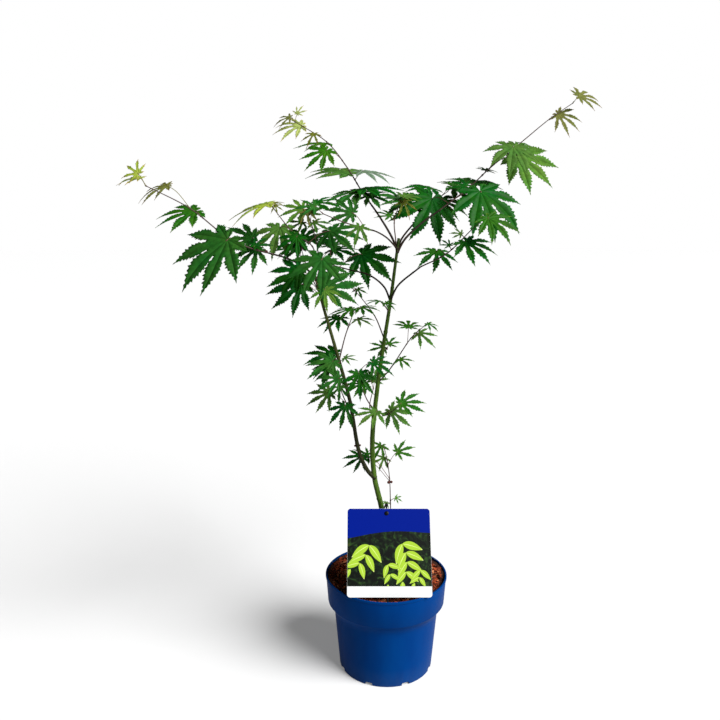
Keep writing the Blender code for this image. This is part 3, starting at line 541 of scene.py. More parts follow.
def spun(profile, segments):
    """A closed round solid. Its profile is (radius, height), from the axis out and back to the axis."""
    bm = bmesh.new()
    points = [bm.verts.new((radius, 0, height)) for radius, height in profile]
    edges = [bm.edges.new(pair) for pair in zip(points, points[1:])]
    bmesh.ops.spin(bm, geom=points + edges, cent=(0, 0, 0), axis=(0, 0, 1), angle=math.tau,
                   steps=segments, use_merge=True)
    bmesh.ops.remove_doubles(bm, verts=bm.verts, dist=1e-6)
    bmesh.ops.recalc_face_normals(bm, faces=bm.faces)
    return bm


def cut(made, cutters):
    """Takes the cutters' bmesh out of the object's mesh."""
    bmesh.ops.recalc_face_normals(cutters, faces=cutters.faces)
    tool = to_object(made.name + "_cutter", cutters, [])
    boolean = made.modifiers.new("cut", "BOOLEAN")
    boolean.operation = "DIFFERENCE"
    boolean.object = tool
    mesh = bpy.data.meshes.new_from_object(made.evaluated_get(bpy.context.evaluated_depsgraph_get()))
    made.modifiers.clear()
    made.data = mesh
    bpy.data.objects.remove(tool)


# ---------------------------------------------------------------- the rule that the plant grows by

def smooth_route(points, steps=4):
    """Points of a smooth curve through the route's own points, each span cut into steps."""
    ends = [points[0] * 2 - points[1]] + list(points) + [points[-1] * 2 - points[-2]]
    route = []
    for a, b, c, d in zip(ends, ends[1:], ends[2:], ends[3:]):
        for step in range(steps):
            t = step / steps
            route.append(0.5 * (2 * b + (c - a) * t + (2 * a - 5 * b + 4 * c - d) * t ** 2
                                + (3 * b - a - 3 * c + d) * t ** 3))
    return route + [points[-1]]


def shares(route):
    """How far along the route each of its points lies, 0 to 1."""
    lengths = [0.0]
    for a, b in zip(route, route[1:]):
        lengths.append(lengths[-1] + (b - a).length)
    return [length / lengths[-1] for length in lengths]


def length_of(route):
    return sum((b - a).length for a, b in zip(route, route[1:]))


def point_at(route, share):
    marks = shares(route)
    for i in range(len(route) - 1):
        if share <= marks[i + 1]:
            return route[i].lerp(route[i + 1], (share - marks[i]) / (marks[i + 1] - marks[i]))
    return route[-1].copy()


def evenly(route, step):
    """The route again with points about a step apart."""
    count = max(2, round(length_of(route) / step))
    marks, spots, i = shares(route), [], 0
    for k in range(count + 1):
        share = k / count
        while i < len(route) - 2 and marks[i + 1] < share:
            i += 1
        spots.append(route[i].lerp(route[i + 1], (share - marks[i]) / (marks[i + 1] - marks[i])))
    return spots


def tube(route, radii, sides, level_foot=False, relief=None):
    """A closed round limb with flat ends: a ring of corners, extruded from point to point of the route.
    relief(spot, along) is how far the surface stands out at a spot, so many metres along the limb."""
    bm = bmesh.new()
    ring = bmesh.ops.create_circle(bm, segments=sides, radius=1)["verts"]
    edges = bm.edges[:]
    ends, rings = [edges[:]], []
    last, across = Matrix.Identity(4), None
    for i, point in enumerate(route):
        heading = (route[min(i + 1, len(route) - 1)] - route[max(i - 1, 0)]).normalized()
        if level_foot and i == 0:
            heading = Vector((0, 0, 1))
        if across is None:
            across = heading.orthogonal().normalized()
        across = (across - heading * across.dot(heading)).normalized()
        turned = Matrix((across.cross(heading) * radii[i], across * radii[i], heading)).transposed().to_4x4()
        place = Matrix.Translation(point) @ turned
        if i:
            made = bmesh.ops.extrude_edge_only(bm, edges=edges)["geom"]
            ring = [part for part in made if isinstance(part, bmesh.types.BMVert)]
            inside = set(ring)
            edges = [part for part in made if isinstance(part, bmesh.types.BMEdge)
                     and part.verts[0] in inside and part.verts[1] in inside]
        bmesh.ops.transform(bm, matrix=place @ last.inverted(), verts=ring)
        last = place
        rings.append(ring)
    ends.append(edges)
    for end in ends:
        bmesh.ops.contextual_create(bm, geom=end)
    if relief:
        along = 0.0
        for i, (point, ring) in enumerate(zip(route, rings)):
            along += (point - route[i - 1]).length if i else 0.0
            for corner in ring:
                corner.co += (corner.co - point).normalized() * relief(corner.co, along)
    bmesh.ops.recalc_face_normals(bm, faces=bm.faces)
    return bm


def distance_to(axis, widths, point):
    """How far a point lies outside a tapering limb."""
    nearest = math.inf
    for a, b, wide, narrow in zip(axis, axis[1:], widths, widths[1:]):
        along = b - a
        share = max(0.0, min(1.0, (point - a).dot(along) / along.length_squared))
        nearest = min(nearest, (point - a - along * share).length - lerp(wide, narrow, share))
    return nearest


def clear_start(route, radius, parent):
    """The route with its foot moved out along it until the tube clears its parent's surface by GAP."""
    axis, widths = parent
    fine = [point_at(route, step / CLEAR_STEPS) for step in range(CLEAR_STEPS + 1)]
    for i, point in enumerate(fine[:-1]):
        heading = (fine[i + 1] - point).normalized()
        across = heading.orthogonal().normalized()
        ring = [point + Matrix.Rotation(math.tau * turn / CLEAR_CORNERS, 3, heading) @ across * radius
                for turn in range(CLEAR_CORNERS)]
        if all(distance_to(axis, widths, corner) > GAP for corner in ring):
            kept = i / CLEAR_STEPS + CLEAR_SKIP
            return [point] + [p for p, mark in zip(route, shares(route)) if mark > kept]
    return route


def limb_radii(route, foot, tip, flare=NO_FLARE):
    """Tapering radii; flare widens the foot and fades up the limb."""
    length = length_of(route)
    return [lerp(foot, tip, share ** TAPER_CURVE) + flare[0] * math.exp(-share * length / flare[1])
            for share in shares(route)]


def grown_limbs():
    """Each limb of the solids as name: (route, radii), and their search trees."""
    grown, trees = {}, []
    for name, parent, points, foot, tip in LIMBS:
        route = smooth_route([mm(*point) for point in points])
        if parent:
            route = clear_start(route, foot * MM, grown[parent])
        grown[name] = (route, limb_radii(route, foot * MM, tip * MM, NO_FLARE if parent else FLARE))
        sides = LIMB_SIDES.get(name, BOUGH_SIDES)
        trees.append(search_tree(tube(*grown[name], sides, level_foot=parent is None)))
    return grown, trees


def both_sides(half):
    """The lobes from the right round to the left, from those of the left half."""
    return [(-angle, length) for angle, length in half[:0:-1]] + list(half)


def notch_depth(deepest, length, next_length):
    """The depth of the notch between two lobes: less beside a short one."""
    return deepest * min(1.0, SHORT_NOTCH + length, SHORT_NOTCH + next_length)


def plate_outline(blade):
    """Corners of the solids' palmate plate from the stalk round to the stalk; X is the midrib."""
    lobes = both_sides(SMALL_LOBES if blade < SMALL_BLADE else LOBES)
    corners = [STALK_CORNER]
    for (last_angle, last), (angle, length) in zip([(0, 0)] + lobes, lobes):
        shouldered = length * blade > SHOULDERED_LENGTH
        if last:
            deepest = NOTCH if shouldered and last * blade > SHOULDERED_LENGTH else SHALLOW_NOTCH
            corners.append(((angle + last_angle) / 2, notch_depth(deepest, last, length)))
        if shouldered:
            shoulder = LOBE_SHOULDER * length
            spread = math.degrees(math.atan(LOBE_HALF_WIDTH * (1 + length) / 2 / shoulder))
            corners += [(angle - spread, shoulder), (angle, length), (angle + spread, shoulder)]
        else:
            corners.append((angle, length))
    return [(blade * reach * math.cos(math.radians(angle)), blade * reach * math.sin(math.radians(angle)))
            for angle, reach in corners]


def plate(blade, place):
    """The solids' plate a little thicker, to try a place with."""
    thickness = max(BLADE_THICKNESS[0], BLADE_THICKNESS[1] * blade)
    bm = bmesh.new()
    middle = bm.verts.new((PLATE_MIDDLE * blade, 0, 0))
    rim = [bm.verts.new((x, y, -DROOP * (x * x + y * y) / blade)) for x, y in plate_outline(blade)]
    for a, b in zip(rim, rim[1:] + rim[:1]):
        bm.faces.new((middle, a, b))
    bm.normal_update()
    bmesh.ops.solidify(bm, geom=bm.faces[:], thickness=thickness + 2 * TEST_MARGIN)
    bmesh.ops.transform(bm, matrix=place @ Matrix.Translation((0, 0, TEST_MARGIN)), verts=bm.verts)
    return bm


def leaf_place(foot, bearing, lean, turn, reach):
    """The stalk's end and the blade's frame: X the midrib, Z out of the upper face.
    The face is turned up by turn and outwards from the plant; seen from the front the midrib has the bearing.
    reach is the stalk's length and how much farther than its own rise it goes in depth."""
    bearing, lean, turn = map(math.radians, (bearing, lean, turn))
    level = Vector((math.sin(bearing) * math.cos(lean), -math.sin(lean), math.cos(bearing) * math.cos(lean)))
    rise = (level + Vector((0, 0, STALK_RISE))).normalized()
    outward = math.radians(OUTWARD) * max(-1.0, min(1.0, (foot.x - OUTWARD_FROM) / OUTWARD_REACH))
    face = Vector((math.sin(outward), -math.cos(turn) * math.cos(outward),
                   math.sin(turn) * math.cos(outward)))
    depth = -(math.sin(bearing) * face.x + math.cos(bearing) * face.z) / face.y
    midrib = Vector((math.sin(bearing), depth, math.cos(bearing))).normalized()
    side = face.cross(midrib)
    tip = Matrix.Rotation(lean * BLADE_LEAN, 3, side)
    midrib, face = tip @ midrib, tip @ face
    end = foot + rise * reach[0] + Vector((0, reach[1], 0))
    return Matrix.Translation(end) @ Matrix((midrib, side, face)).transposed().to_4x4()


def search_tree(bm):
    """The bmesh as a tree to search for overlaps; frees the bmesh."""
    tree = BVHTree.FromBMesh(bm)
    bm.free()
    return tree


def stalk_route(foot, place):
    end = place.translation
    route = [foot, end]
    if (end - foot).length > STRAIGHT_STALK:
        route.insert(1, foot.lerp(end, STALK_KNEE) + Vector((0, 0, STALK_ARCH * (end - foot).length)))
    return route


def fit_leaf(foot, stalk, bearing, lean, turn, blade, off_blade, off_stalk):
    """The first place near the wanted one where the blade keeps off off_blade and the stalk off off_stalk,
    with the search trees of both."""
    trials = sorted(itertools.product(LEAN_TRIALS, DEPTH_TRIALS, SWING_TRIALS),
                    key=lambda trial: sum(cost * abs(step) for cost, step in zip(TRIAL_COSTS, trial)))
    for more_lean, depth, swing in trials:
        place = leaf_place(foot, bearing + swing, lean + more_lean, turn, (stalk, depth * MM))
        route = stalk_route(foot, place)
        blade_tree = search_tree(plate(blade, place))
        stalk_tree = search_tree(tube(route, [STALK_RADIUS + TEST_MARGIN] * len(route), TWIG_SIDES))
        if not (any(blade_tree.overlap(other) for other in off_blade)
                or any(stalk_tree.overlap(other) for other in off_stalk)):
            return place, blade_tree, stalk_tree
    return None


def grown_twigs(grown):
    """Each spray's twig on the solids as name: (route, radii), starting GAP clear of its limb."""
    twigs = {}
    for name, (limb, start, points, _, _) in SPRAYS.items():
        if start is None:
            tip, before = grown[limb][0][-1], grown[limb][0][-2]
            route = smooth_route([tip] + [mm(*point) for point in points], steps=2)
            route[0] = tip + (tip - before).normalized() * GAP
        else:
            route = smooth_route([mm(*start)] + [mm(*point) for point in points], steps=2)
            if limb:
                route = clear_start(route, TWIG_RADII[0] * MM, grown[limb])
        twigs[name] = (route, limb_radii(route, TWIG_RADII[0] * MM, TWIG_RADII[1] * MM))
    return twigs


def grown_leaves():
    """The limbs, and every leaf: (spray, number, age, blade, foot of the stalk, place of the blade)."""
    grown, taken = grown_limbs()
    twigs = grown_twigs(grown)
    twig_trees = {name: search_tree(tube(*twig, TWIG_SIDES)) for name, twig in twigs.items()}
    found = []
    for name, (_, _, _, leaves, ages_and_shade) in SPRAYS.items():
        rng = random.Random(f"{SEED} {name}")
        leans = [(LEAF_LEAN if number % 2 else -LEAF_LEAN) + rng.uniform(-LEAN_JITTER, LEAN_JITTER)
                 for number in range(len(leaves))]
        others = [tree for other, tree in twig_trees.items() if other != name]
        blades, stalks = [], []
        rows = sorted(zip(leans, leaves, range(len(leaves))), key=lambda row: row[1][4])
        for lean, (along, stalk, bearing, turn, blade), number in rows:
            foot = point_at(twigs[name][0], along)
            off_stalk = taken + others + blades
            fitted = fit_leaf(foot, stalk * MM, bearing, lean, turn, blade * MM,
                              off_stalk + stalks + [twig_trees[name]], off_stalk)
            if fitted:
                place, blade_tree, stalk_tree = fitted
                found.append((name, number, ages_and_shade[number], blade * MM, foot, place))
                blades.append(blade_tree)
                stalks.append(stalk_tree)
        taken += blades + stalks
    return grown, found


# ---------------------------------------------------------------- blades

def by_size(blade, span):
    """A measure between the span's two ends: the first for a small blade, the second for a full one."""
    return lerp(*span, min(1.0, max(0.0, (blade - FULL_BLADE[0]) / (FULL_BLADE[1] - FULL_BLADE[0]))))


class Lobe:
    """One lobe of a flat blade: a grid from the stalk's end out to the tip, with teeth down both edges.
    gaps holds, for the right (-1) and left (+1) side, the half angle and depth of the cleft beside it.
    Its lengths are shares of the blade, until corner() gives a place in metres."""

    def __init__(self, blade, angle, length, gaps, teeth, rng, young):
        self.blade, self.angle, self.length, self.teeth = blade, math.radians(angle), length, teeth
        self.gaps = {side: (math.radians(half), notch) for side, (half, notch) in gaps.items()}
        self.widest = by_size(blade, LOBE_WIDEST) * (1 + length) / 2 * (YOUNG_NARROWING if young else 1)
        self.bend = math.radians(rng.uniform(-SMALL_BEND, SMALL_BEND))
        self.drop = rng.uniform(*(YOUNG_TIP_DROP if young else TIP_DROP))
        self.roll = rng.uniform(-SMALL_ROLL, SMALL_ROLL)
        self.stations = FOOT_STATIONS + 2 * teeth

    def edge(self, side, station):
        """Where the edge passes a station, along and across: up the cleft, then from tooth to tooth."""
        half, notch = self.gaps[side]
        start, foot_width = notch * math.cos(half), notch * math.sin(half)
        step = station - FOOT_STATIONS
        if step <= 0:
            return start * station / FOOT_STATIONS, foot_width * station / FOOT_STATIONS
        spacing = (self.length - start) / (2 * self.teeth)
        along = start + spacing * step
        width = self.widest * on_profile(LOBE_PROFILE, along / self.length)
        width = lerp(foot_width, width, min(1.0, (along - start) / FOOT_EASE))
        if step < 2 * self.teeth:
            point = (1 if step % 2 else -1) * min(1.0, width / TOOTH_FADE)
            size = TOOTH_SIZES[step // 2 % 2] * lerp(*TOOTH_GROWTH, along / self.length)
            width += point * TOOTH_DEPTH * size
            along += spacing * TOOTH_LEAN * point
        return min(along, self.length), width

    def midrib(self, station):
        """How far along the midrib a station starts; the side vein there runs on forward to the edge."""
        spread = sum(notch * math.cos(half) for half, notch in self.gaps.values()) / 2
        first = max(NEAREST_VEIN * spread, spread - VEIN_LEAD)
        if station <= FOOT_STATIONS:
            return first * station / FOOT_STATIONS
        return lerp(first, self.length, (station - FOOT_STATIONS) / (2 * self.teeth))

    def corner(self, station, column):
        """Where a corner of the grid lies, column -3 to 3 from the right edge to the left."""
        along = self.midrib(station)
        x, y = along, 0.0
        if column:
            side = 1 if column > 0 else -1
            edge_x, edge_y = self.edge(side, station)
            taper = VEIN_TAPER - along / self.length
            vein = min(WIDEST_VEIN * edge_y, VEIN_HALF_WIDTH / self.blade * taper)
            share = COLUMN_SHARES[abs(column)]
            x, y = lerp(along, edge_x, share), side * lerp(vein, edge_y, share)
        out = max(0.0, x - BEND_FROM)
        x, y = x * self.blade, y * self.blade
        rise = PLEAT * abs(y) + 2 * self.roll * y * out - 2 * self.drop * self.blade * out ** 2
        if column == 0:
            rise -= GROOVE
        if abs(column) == QUILT_COLUMN and FOOT_STATIONS < station < self.stations - 1:
            rise += QUILT if station % 2 else -QUILT
        swing = self.angle + 2 * self.bend * out ** 2
        x, y = x * math.cos(swing) - y * math.sin(swing), x * math.sin(swing) + y * math.cos(swing)
        return Vector((x, y, rise - DROOP * (x * x + y * y) / self.blade))

    def add_to(self, bm):
        columns = max(COLUMN_SHARES)
        grid = bmesh.ops.create_grid(bm, x_segments=self.stations, y_segments=2 * columns, size=1)["verts"]
        centre, tip = set(), set()
        for corner in grid:
            station, column = round((corner.co.x + 1) / 2 * self.stations), round(corner.co.y * columns)
            if abs(column) <= 1:
                centre.add(corner)
            if station >= self.stations - TIP_STATIONS:
                tip.add(corner)
            corner.co = self.corner(station, column)
        for face in {face for corner in grid for face in corner.link_faces}:
            corners = set(face.verts)
            face.material_index = TIP if corners <= tip else VEIN if corners <= centre else UPPER


def leaf(blade, age_and_shade, rng):
    """A leaf blade as a thin closed sheet in its own frame."""
    young = age_and_shade in YOUNG_AGES
    teeth = next(count for over, count in TEETH if blade > over)
    spokes = [(angle + rng.uniform(-SPREAD_JITTER, SPREAD_JITTER), length * rng.uniform(*LENGTH_JITTER))
              for angle, length in both_sides(FINE_SMALL_LOBES if blade < SMALL_BLADE else FINE_LOBES)]
    clefts, deepest = [STALK_GAP], by_size(blade, FINE_NOTCH)
    for (angle, length), (next_angle, next_length) in zip(spokes, spokes[1:]):
        clefts.append(((next_angle - angle) / 2, notch_depth(deepest, length, next_length)))
    clefts.append(STALK_GAP)
    bm = bmesh.new()
    for (angle, length), right, left in zip(spokes, clefts, clefts[1:]):
        count = max(FEWEST_TEETH, round(teeth * length ** 0.5))
        Lobe(blade, angle, length, {-1: right, 1: left}, count, rng, young).add_to(bm)
    bmesh.ops.remove_doubles(bm, verts=bm.verts, dist=LOBE_WELD)
    lower = bmesh.ops.extrude_face_region(bm, geom=bm.faces[:], use_keep_orig=True)["geom"]
    lower = [part for part in lower if isinstance(part, bmesh.types.BMVert)]
    bmesh.ops.translate(bm, verts=lower, vec=(0, 0, -SHEET))
    bmesh.ops.recalc_face_normals(bm, faces=bm.faces)
    for face in bm.faces:
        if face.normal.z < UNDERSIDE_LEVEL and face.material_index != TIP:
            face.material_index = UNDERSIDE
        face.smooth = True
    return bm


def leaves(found):
    """Every blade, joined into pieces by how old it is; the deep pieces (K) carry painted shade."""
    heaps = {}
    for name, number, age_and_shade, blade, _, place in found:
        rng = random.Random(f"{SEED} blade {name} {number}")
        bm = leaf(blade, age_and_shade, rng)
        bmesh.ops.transform(bm, matrix=place, verts=bm.verts)
        heap = heaps.setdefault(age_and_shade, [])
        if not heap or len(heap[-1][0].faces) > HEAP_FACES:
            heap.append((bmesh.new(), set()))
        pour(heap[-1][0], bm)
        heap[-1][1].add(name)
    for age_and_shade, heap in heaps.items():
        for number, (bm, names) in enumerate(heap):
            piece(f"{AGES_AND_SHADE[age_and_shade][0]}_leaves_{number + 1}", bm, leaf_finishes(age_and_shade), sorted(names))


# ---------------------------------------------------------------- limbs, twigs and stalks

def node_ring(along):
    """The raised ring that each pair of leaves has left on a stem, with a groove over it."""
    off = (along + NODE_SPACING / 2) % NODE_SPACING - NODE_SPACING / 2
    depth, above, narrow = NODE_GROOVE
    groove = depth * math.exp(-((off - above * NODE_WIDTH) / (narrow * NODE_WIDTH)) ** 2)
    return NODE_RISE * (math.exp(-(off / NODE_WIDTH) ** 2) - groove)


def rough(spot, swings, shift=0.0):
    """Soft noise at a spot, with so many swings a metre along each axis."""
    return noise.noise(Vector((spot.x * swings[0] + shift, spot.y * swings[1], spot.z * swings[2])))


def bark(roughness):
    """Relief of young bark: long shallow ridges, fine grain, breathing pores and node rings."""
    def relief(spot, along):
        ridges, grain = rough(spot, RIDGE_SWINGS), rough(spot, GRAIN_SWINGS)
        pores = max(0.0, rough(spot, PORE_SWINGS, PORE_SHIFT) - PORE_LEVEL)
        skin = RIDGE_RISE * ridges + GRAIN_RISE * grain + PORE_RISE * pores
        return roughness * (skin + node_ring(along))
    return relief


def limb_piece(name, parent, points, foot, tip):
    """A limb with its bark, from inside what carries it to its tip."""
    route = evenly(smooth_route([mm(*point) for point in points], steps=FINE_STEPS), STEM_STEP)
    flare = FLARE if parent is None else (COLLAR if name in FINE_SIDES else BOUGH_COLLAR)
    radii = limb_radii(route, foot * MM, tip * MM, flare)
    barks = {"trunk": (1.0, green_bark, "trunk_bark"), "left_stem": (0.8, dark_bark, "stem_bark")}
    roughness, finish_of, slot = barks.get(name, (0.45, bough_bark, "bough_bark"))
    bm = tube(route, radii, FINE_SIDES.get(name, FINE_BOUGH_SIDES), level_foot=parent is None,
              relief=bark(roughness))
    piece(name + "_bark", bm, [finish_of()], [name], smooth_degrees=ROUND)


def swelling(route, places, rise, width):
    """Extra radius at each point of the route near any of the places, which are shares of its length."""
    length = length_of(route)
    return [sum(rise * math.exp(-((mark - place) * length / width) ** 2) for place in places)
            for mark in shares(route)]


def twigs(grown):
    """Each spray's twig, running on from its limb, with a swelling at each pair of leaves."""
    heap = bmesh.new()
    for limb, start, points, rows, _ in SPRAYS.values():
        foot = mm(*start) if start else grown[limb][0][-1]
        route = smooth_route([foot] + [mm(*point) for point in points], steps=FINE_STEPS)
        if not start:
            route.insert(0, grown[limb][0][-3].lerp(foot, 0.5))
        route = evenly(route, TWIG_STEP)
        flare = TWIG_COLLAR if start else TWIG_JOIN
        radii = limb_radii(route, TWIG_RADII[0] * MM, TWIG_RADII[1] * MM, flare)
        swellings = swelling(route, [row[0] for row in rows], *TWIG_NODE)
        radii = [TWIG_SLIMMING * radius + more for radius, more in zip(radii, swellings)]
        pour(heap, tube(route, radii, FINE_TWIG_SIDES, level_foot=limb is None))
    piece("twigs", heap, [twig_bark()], sorted(SPRAYS), smooth_degrees=ROUND)


def stalks(found):
    """The leaf stalks: swollen where they clasp the twig, thin, and a little thicker under the blade."""
    heap, young_heap = bmesh.new(), bmesh.new()
    for _, _, age_and_shade, blade, foot, place in found:
        into = place @ Vector((STALK_END[0] * blade, 0, STALK_END[1]))
        route = evenly(smooth_route(stalk_route(foot, place) + [into], steps=8), STALK_STEP)
        size = lerp(*STALK_RADII, min(1.0, blade / STOUT_BLADE))
        length = length_of(route)
        radii = [size + STALK_CLASP[0] * math.exp(-mark * length / STALK_CLASP[1])
                 + STALK_SWELL[0] * math.exp(-(1 - mark) * length / STALK_SWELL[1]) for mark in shares(route)]
        pour(young_heap if age_and_shade in YOUNG_AGES else heap, tube(route, radii, FINE_STALK_SIDES))
    for name, made, skin in (("leaf_stalks", heap, ("reddish_leaf_stalk", "#503731")),
                             ("young_leaf_stalks", young_heap, ("young_leaf_stalk", "#605C2C"))):
        piece(name, made, [stalk_skin(*skin)], smooth_degrees=ROUND)


def bud(spot, outward, radius, length):
    """A pointed bud standing out from a spot."""
    bm = bmesh.new()
    bmesh.ops.create_uvsphere(bm, u_segments=12, v_segments=9, radius=1)
    for corner in bm.verts:
        height = corner.co.z
        taper = 1.0 if height < 0 else (1 - height ** 2) ** BUD_POINT
        corner.co.x *= radius * taper
        corner.co.y *= radius * taper
        corner.co.z = length * (height * 0.5 + BUD_LIFT)
    turned = outward.normalized().to_track_quat("Z", "X").to_matrix().to_4x4()
    bmesh.ops.transform(bm, matrix=Matrix.Translation(spot) @ turned, verts=bm.verts)
    return bm


def buds(found):
    """Buds in the leaf axils, and in pairs on the bare nodes of the stems."""
    rng = random.Random(SEED + 5)
    heap = bmesh.new()
    for _, _, _, blade, foot, place in found:
        if blade >= BUDDED_BLADE:
            up = (place.translation - foot).normalized()
            spot = foot + up * AXIL_BUD_OUT + Vector((0, 0, AXIL_BUD_UP))
            pour(heap, bud(spot, up, AXIL_BUD_RADIUS, rng.uniform(*AXIL_BUD_LENGTHS)))
    for spot, outward, size in BARE_BUDS:
        pour(heap, bud(mm(*spot), Vector(outward), BUD[0] * size, BUD[1] * size))
    piece("buds", heap, [bud_scales()], smooth_degrees=50)


def stub():
    """The pruned end over the topmost fork: a flat cut with its ring of bark."""
    _, _, points, _, tip = LIMBS[0]
    top, below = mm(*points[-1]), mm(*points[-2])
    place = Matrix.Translation(top) @ (top - below).to_track_quat("Z", "X").to_matrix().to_4x4()
    bm = spun([(share * tip * MM, height * MM) for share, height in CUT_PROFILE], 24)
    bmesh.ops.transform(bm, matrix=place, verts=bm.verts)
    piece("pruning_cut", bm, [cut_wood()], smooth_degrees=40)


# ---------------------------------------------------------------- pot and mulch

def rounded(points, radius, steps=4):
    """The profile with each inner corner replaced by a short arc-like run."""
    out = [points[0]]
    for (ax, az), (bx, bz), (cx, cz) in zip(points, points[1:], points[2:]):
        a, b, c = Vector((ax, az)), Vector((bx, bz)), Vector((cx, cz))
        back, ahead = min(radius, CORNER_LIMIT * (a - b).length), min(radius, CORNER_LIMIT * (c - b).length)
        first, last = b + (a - b).normalized() * back, b + (c - b).normalized() * ahead
        for step in range(steps + 1):
            t = step / steps
            out.append(tuple(first * (1 - t) ** 2 + b * 2 * t * (1 - t) + last * t ** 2))
    return out + [points[-1]]


def pot_profile():
    """The pot's half section from the middle of its floor up the inside, over the lip and down again."""
    swell = [Vector((lerp(BAND_FOOT[0], BODY_TOP[0], inward), lerp(BAND_FOOT[1], BODY_TOP[1], down), 0))
             for inward, down in POT_SWELL]
    curve = [tuple(point)[:2] for point in smooth_route(swell)]
    inner = [(r - POT_WALL, z) for r, z in curve]
    lip_foot = POT_HEIGHT - LIP_DEPTH
    lip = [(LIP_RADIUS - POT_WALL - LIP_STEP, POT_HEIGHT), (LIP_RADIUS, POT_HEIGHT), (LIP_RADIUS, lip_foot),
           (LIP_RADIUS - LIP_STEP, lip_foot - LIP_STEP)]
    # The underside: a foot ring, a shallow recess and the stub left by the mould's feed.
    ring = POT_FOOT_RADIUS - FOOT_RING
    under = [(POT_FOOT_RADIUS, 0), (ring, 0), (ring - MM, RECESS), (2 * FEED_RADIUS, RECESS),
             (FEED_RADIUS, FEED_GAP), (0, FEED_GAP)]
    floor = [(0, POT_FLOOR), (POT_FOOT_RADIUS - POT_WALL, POT_FLOOR)]
    upper = rounded(floor + inner[::-1] + lip, UPPER_ROUNDING)
    return upper + curve + rounded([curve[-1]] + under, FOOT_ROUNDING)[1:]


def drain_cutters():
    """A block with rounded corners for each drain hole, across the corner of the wall and the floor."""
    cutters = bmesh.new()
    across, along, tall = DRAIN_SIZE
    for step in range(DRAIN_COUNT):
        block = bmesh.new()
        bmesh.ops.create_cube(block, size=1, matrix=Matrix.Diagonal((along, across, tall, 1)))
        sides = [edge for edge in block.edges if abs(edge.verts[0].co.x - edge.verts[1].co.x) > MM]
        bmesh.ops.bevel(block, geom=sides, offset=DRAIN_ROUNDING, segments=3, profile=0.5, affect="EDGES",
                        material=-1)
        place = (Matrix.Rotation(math.tau * (step + 0.5) / DRAIN_COUNT, 4, "Z")
                 @ Matrix.Translation((POT_FOOT_RADIUS, 0, 0)))
        bmesh.ops.transform(block, matrix=place, verts=block.verts)
        pour(cutters, block)
    return cutters


def pot():
    """The moulded pot, with its drain holes cut through."""
    made = to_object("nursery_pot", spun(pot_profile()[::-1], POT_SEGMENTS), [moulded_plastic()])
    cut(made, drain_cutters())
    smooth(made.data, 38)
    carried(made, ["pot"])


def bed_height(x, y):
    """The mulch's level: flat at the stem, heaped to the back and against the wall, uneven all over."""
    radius, turn = math.hypot(x, y), math.atan2(y, x)
    away = min(1.0, max(0.0, (radius - BED_FLAT) / BED_FADE))
    back = 0.5 + 0.5 * math.sin(turn - BED_HEAP_TURN)
    broad, fine = [noise.noise(Vector((x * swings, y * swings, layer))) for swings, layer in BED_LUMPS]
    bank = BED_BANK * away * (radius / SOIL_EDGE) ** BANK_CURVE * min(1.0, 1 + math.sin(turn))
    return SOIL_LEVEL - BED_SINK + bank + away * (BED_HEAP * back + BED_ROUGHNESS * (broad + 0.5 * fine))


def mulch_bed(rng):
    """The dark bed under the chips."""
    rings = [(SOIL_EDGE * ring / BED_RINGS, SOIL_LEVEL) for ring in range(BED_RINGS + 1)]
    under = SOIL_LEVEL - BED_DEPTH
    bed = spun(rings + [(SOIL_EDGE, under), (0, under)], BED_SEGMENTS)
    for corner in bed.verts:
        if corner.co.z > SOIL_LEVEL - MM:
            corner.co.z = bed_height(corner.co.x, corner.co.y) + rng.uniform(-BED_GRAIN, BED_GRAIN)
    bed.normal_update()
    piece("mulch_bed", bed, [mulch_finish("composted_bark_bed", "#2A1813", "#43291F")], ["soil"],
          smooth_degrees=180)


def mulch():
    """The bed, and chips of bark lying on it at all angles."""
    rng = random.Random(SEED + 2)
    mulch_bed(rng)
    shapes = [chip(rng) for _ in range(CHIP_SHAPES)]
    heaps = [bmesh.new() for _ in CHIP_TONES]
    for _ in range(CHIPS):
        radius = math.sqrt(rng.uniform(CHIPS_FROM, 1.0)) * (SOIL_EDGE - CHIP_ROOM)
        turn = rng.uniform(0, math.tau)
        x, y = radius * math.cos(turn), radius * math.sin(turn)
        length = lerp(*CHIP_LENGTH, rng.uniform(0, 1) ** CHIP_RARITY)
        length = min(length, WALL_CLEARANCE * (SOIL_EDGE - radius))
        if radius < STEM_ROOM:
            continue
        tilt = (Matrix.Rotation(rng.gauss(0, CHIP_TILTS[0]), 4, "X")
                @ Matrix.Rotation(rng.gauss(0, CHIP_TILTS[1]), 4, "Y"))
        place = (Matrix.Translation((x, y, bed_height(x, y) + rng.uniform(*CHIP_LIFT)))
                 @ Matrix.Rotation(rng.uniform(0, math.tau), 4, "Z") @ tilt)
        size = (length, length * rng.uniform(*CHIP_WIDTH), rng.uniform(*CHIP_THICKNESS), 1)
        tone = rng.choices(range(len(CHIP_TONES)), weights=[row[3] for row in CHIP_TONES])[0]
        bit = bmesh.new()
        bit.from_mesh(shapes[rng.randrange(len(shapes))])
        bmesh.ops.transform(bit, matrix=place @ Matrix.Diagonal(size), verts=bit.verts)
        pour(heaps[tone], bit)
    for (name, dark, pale, _), heap in zip(CHIP_TONES, heaps):
        piece("mulch_" + name, heap, [mulch_finish(name, dark, pale)], smooth_degrees=35)
    for shape in shapes:
        bpy.data.meshes.remove(shape)


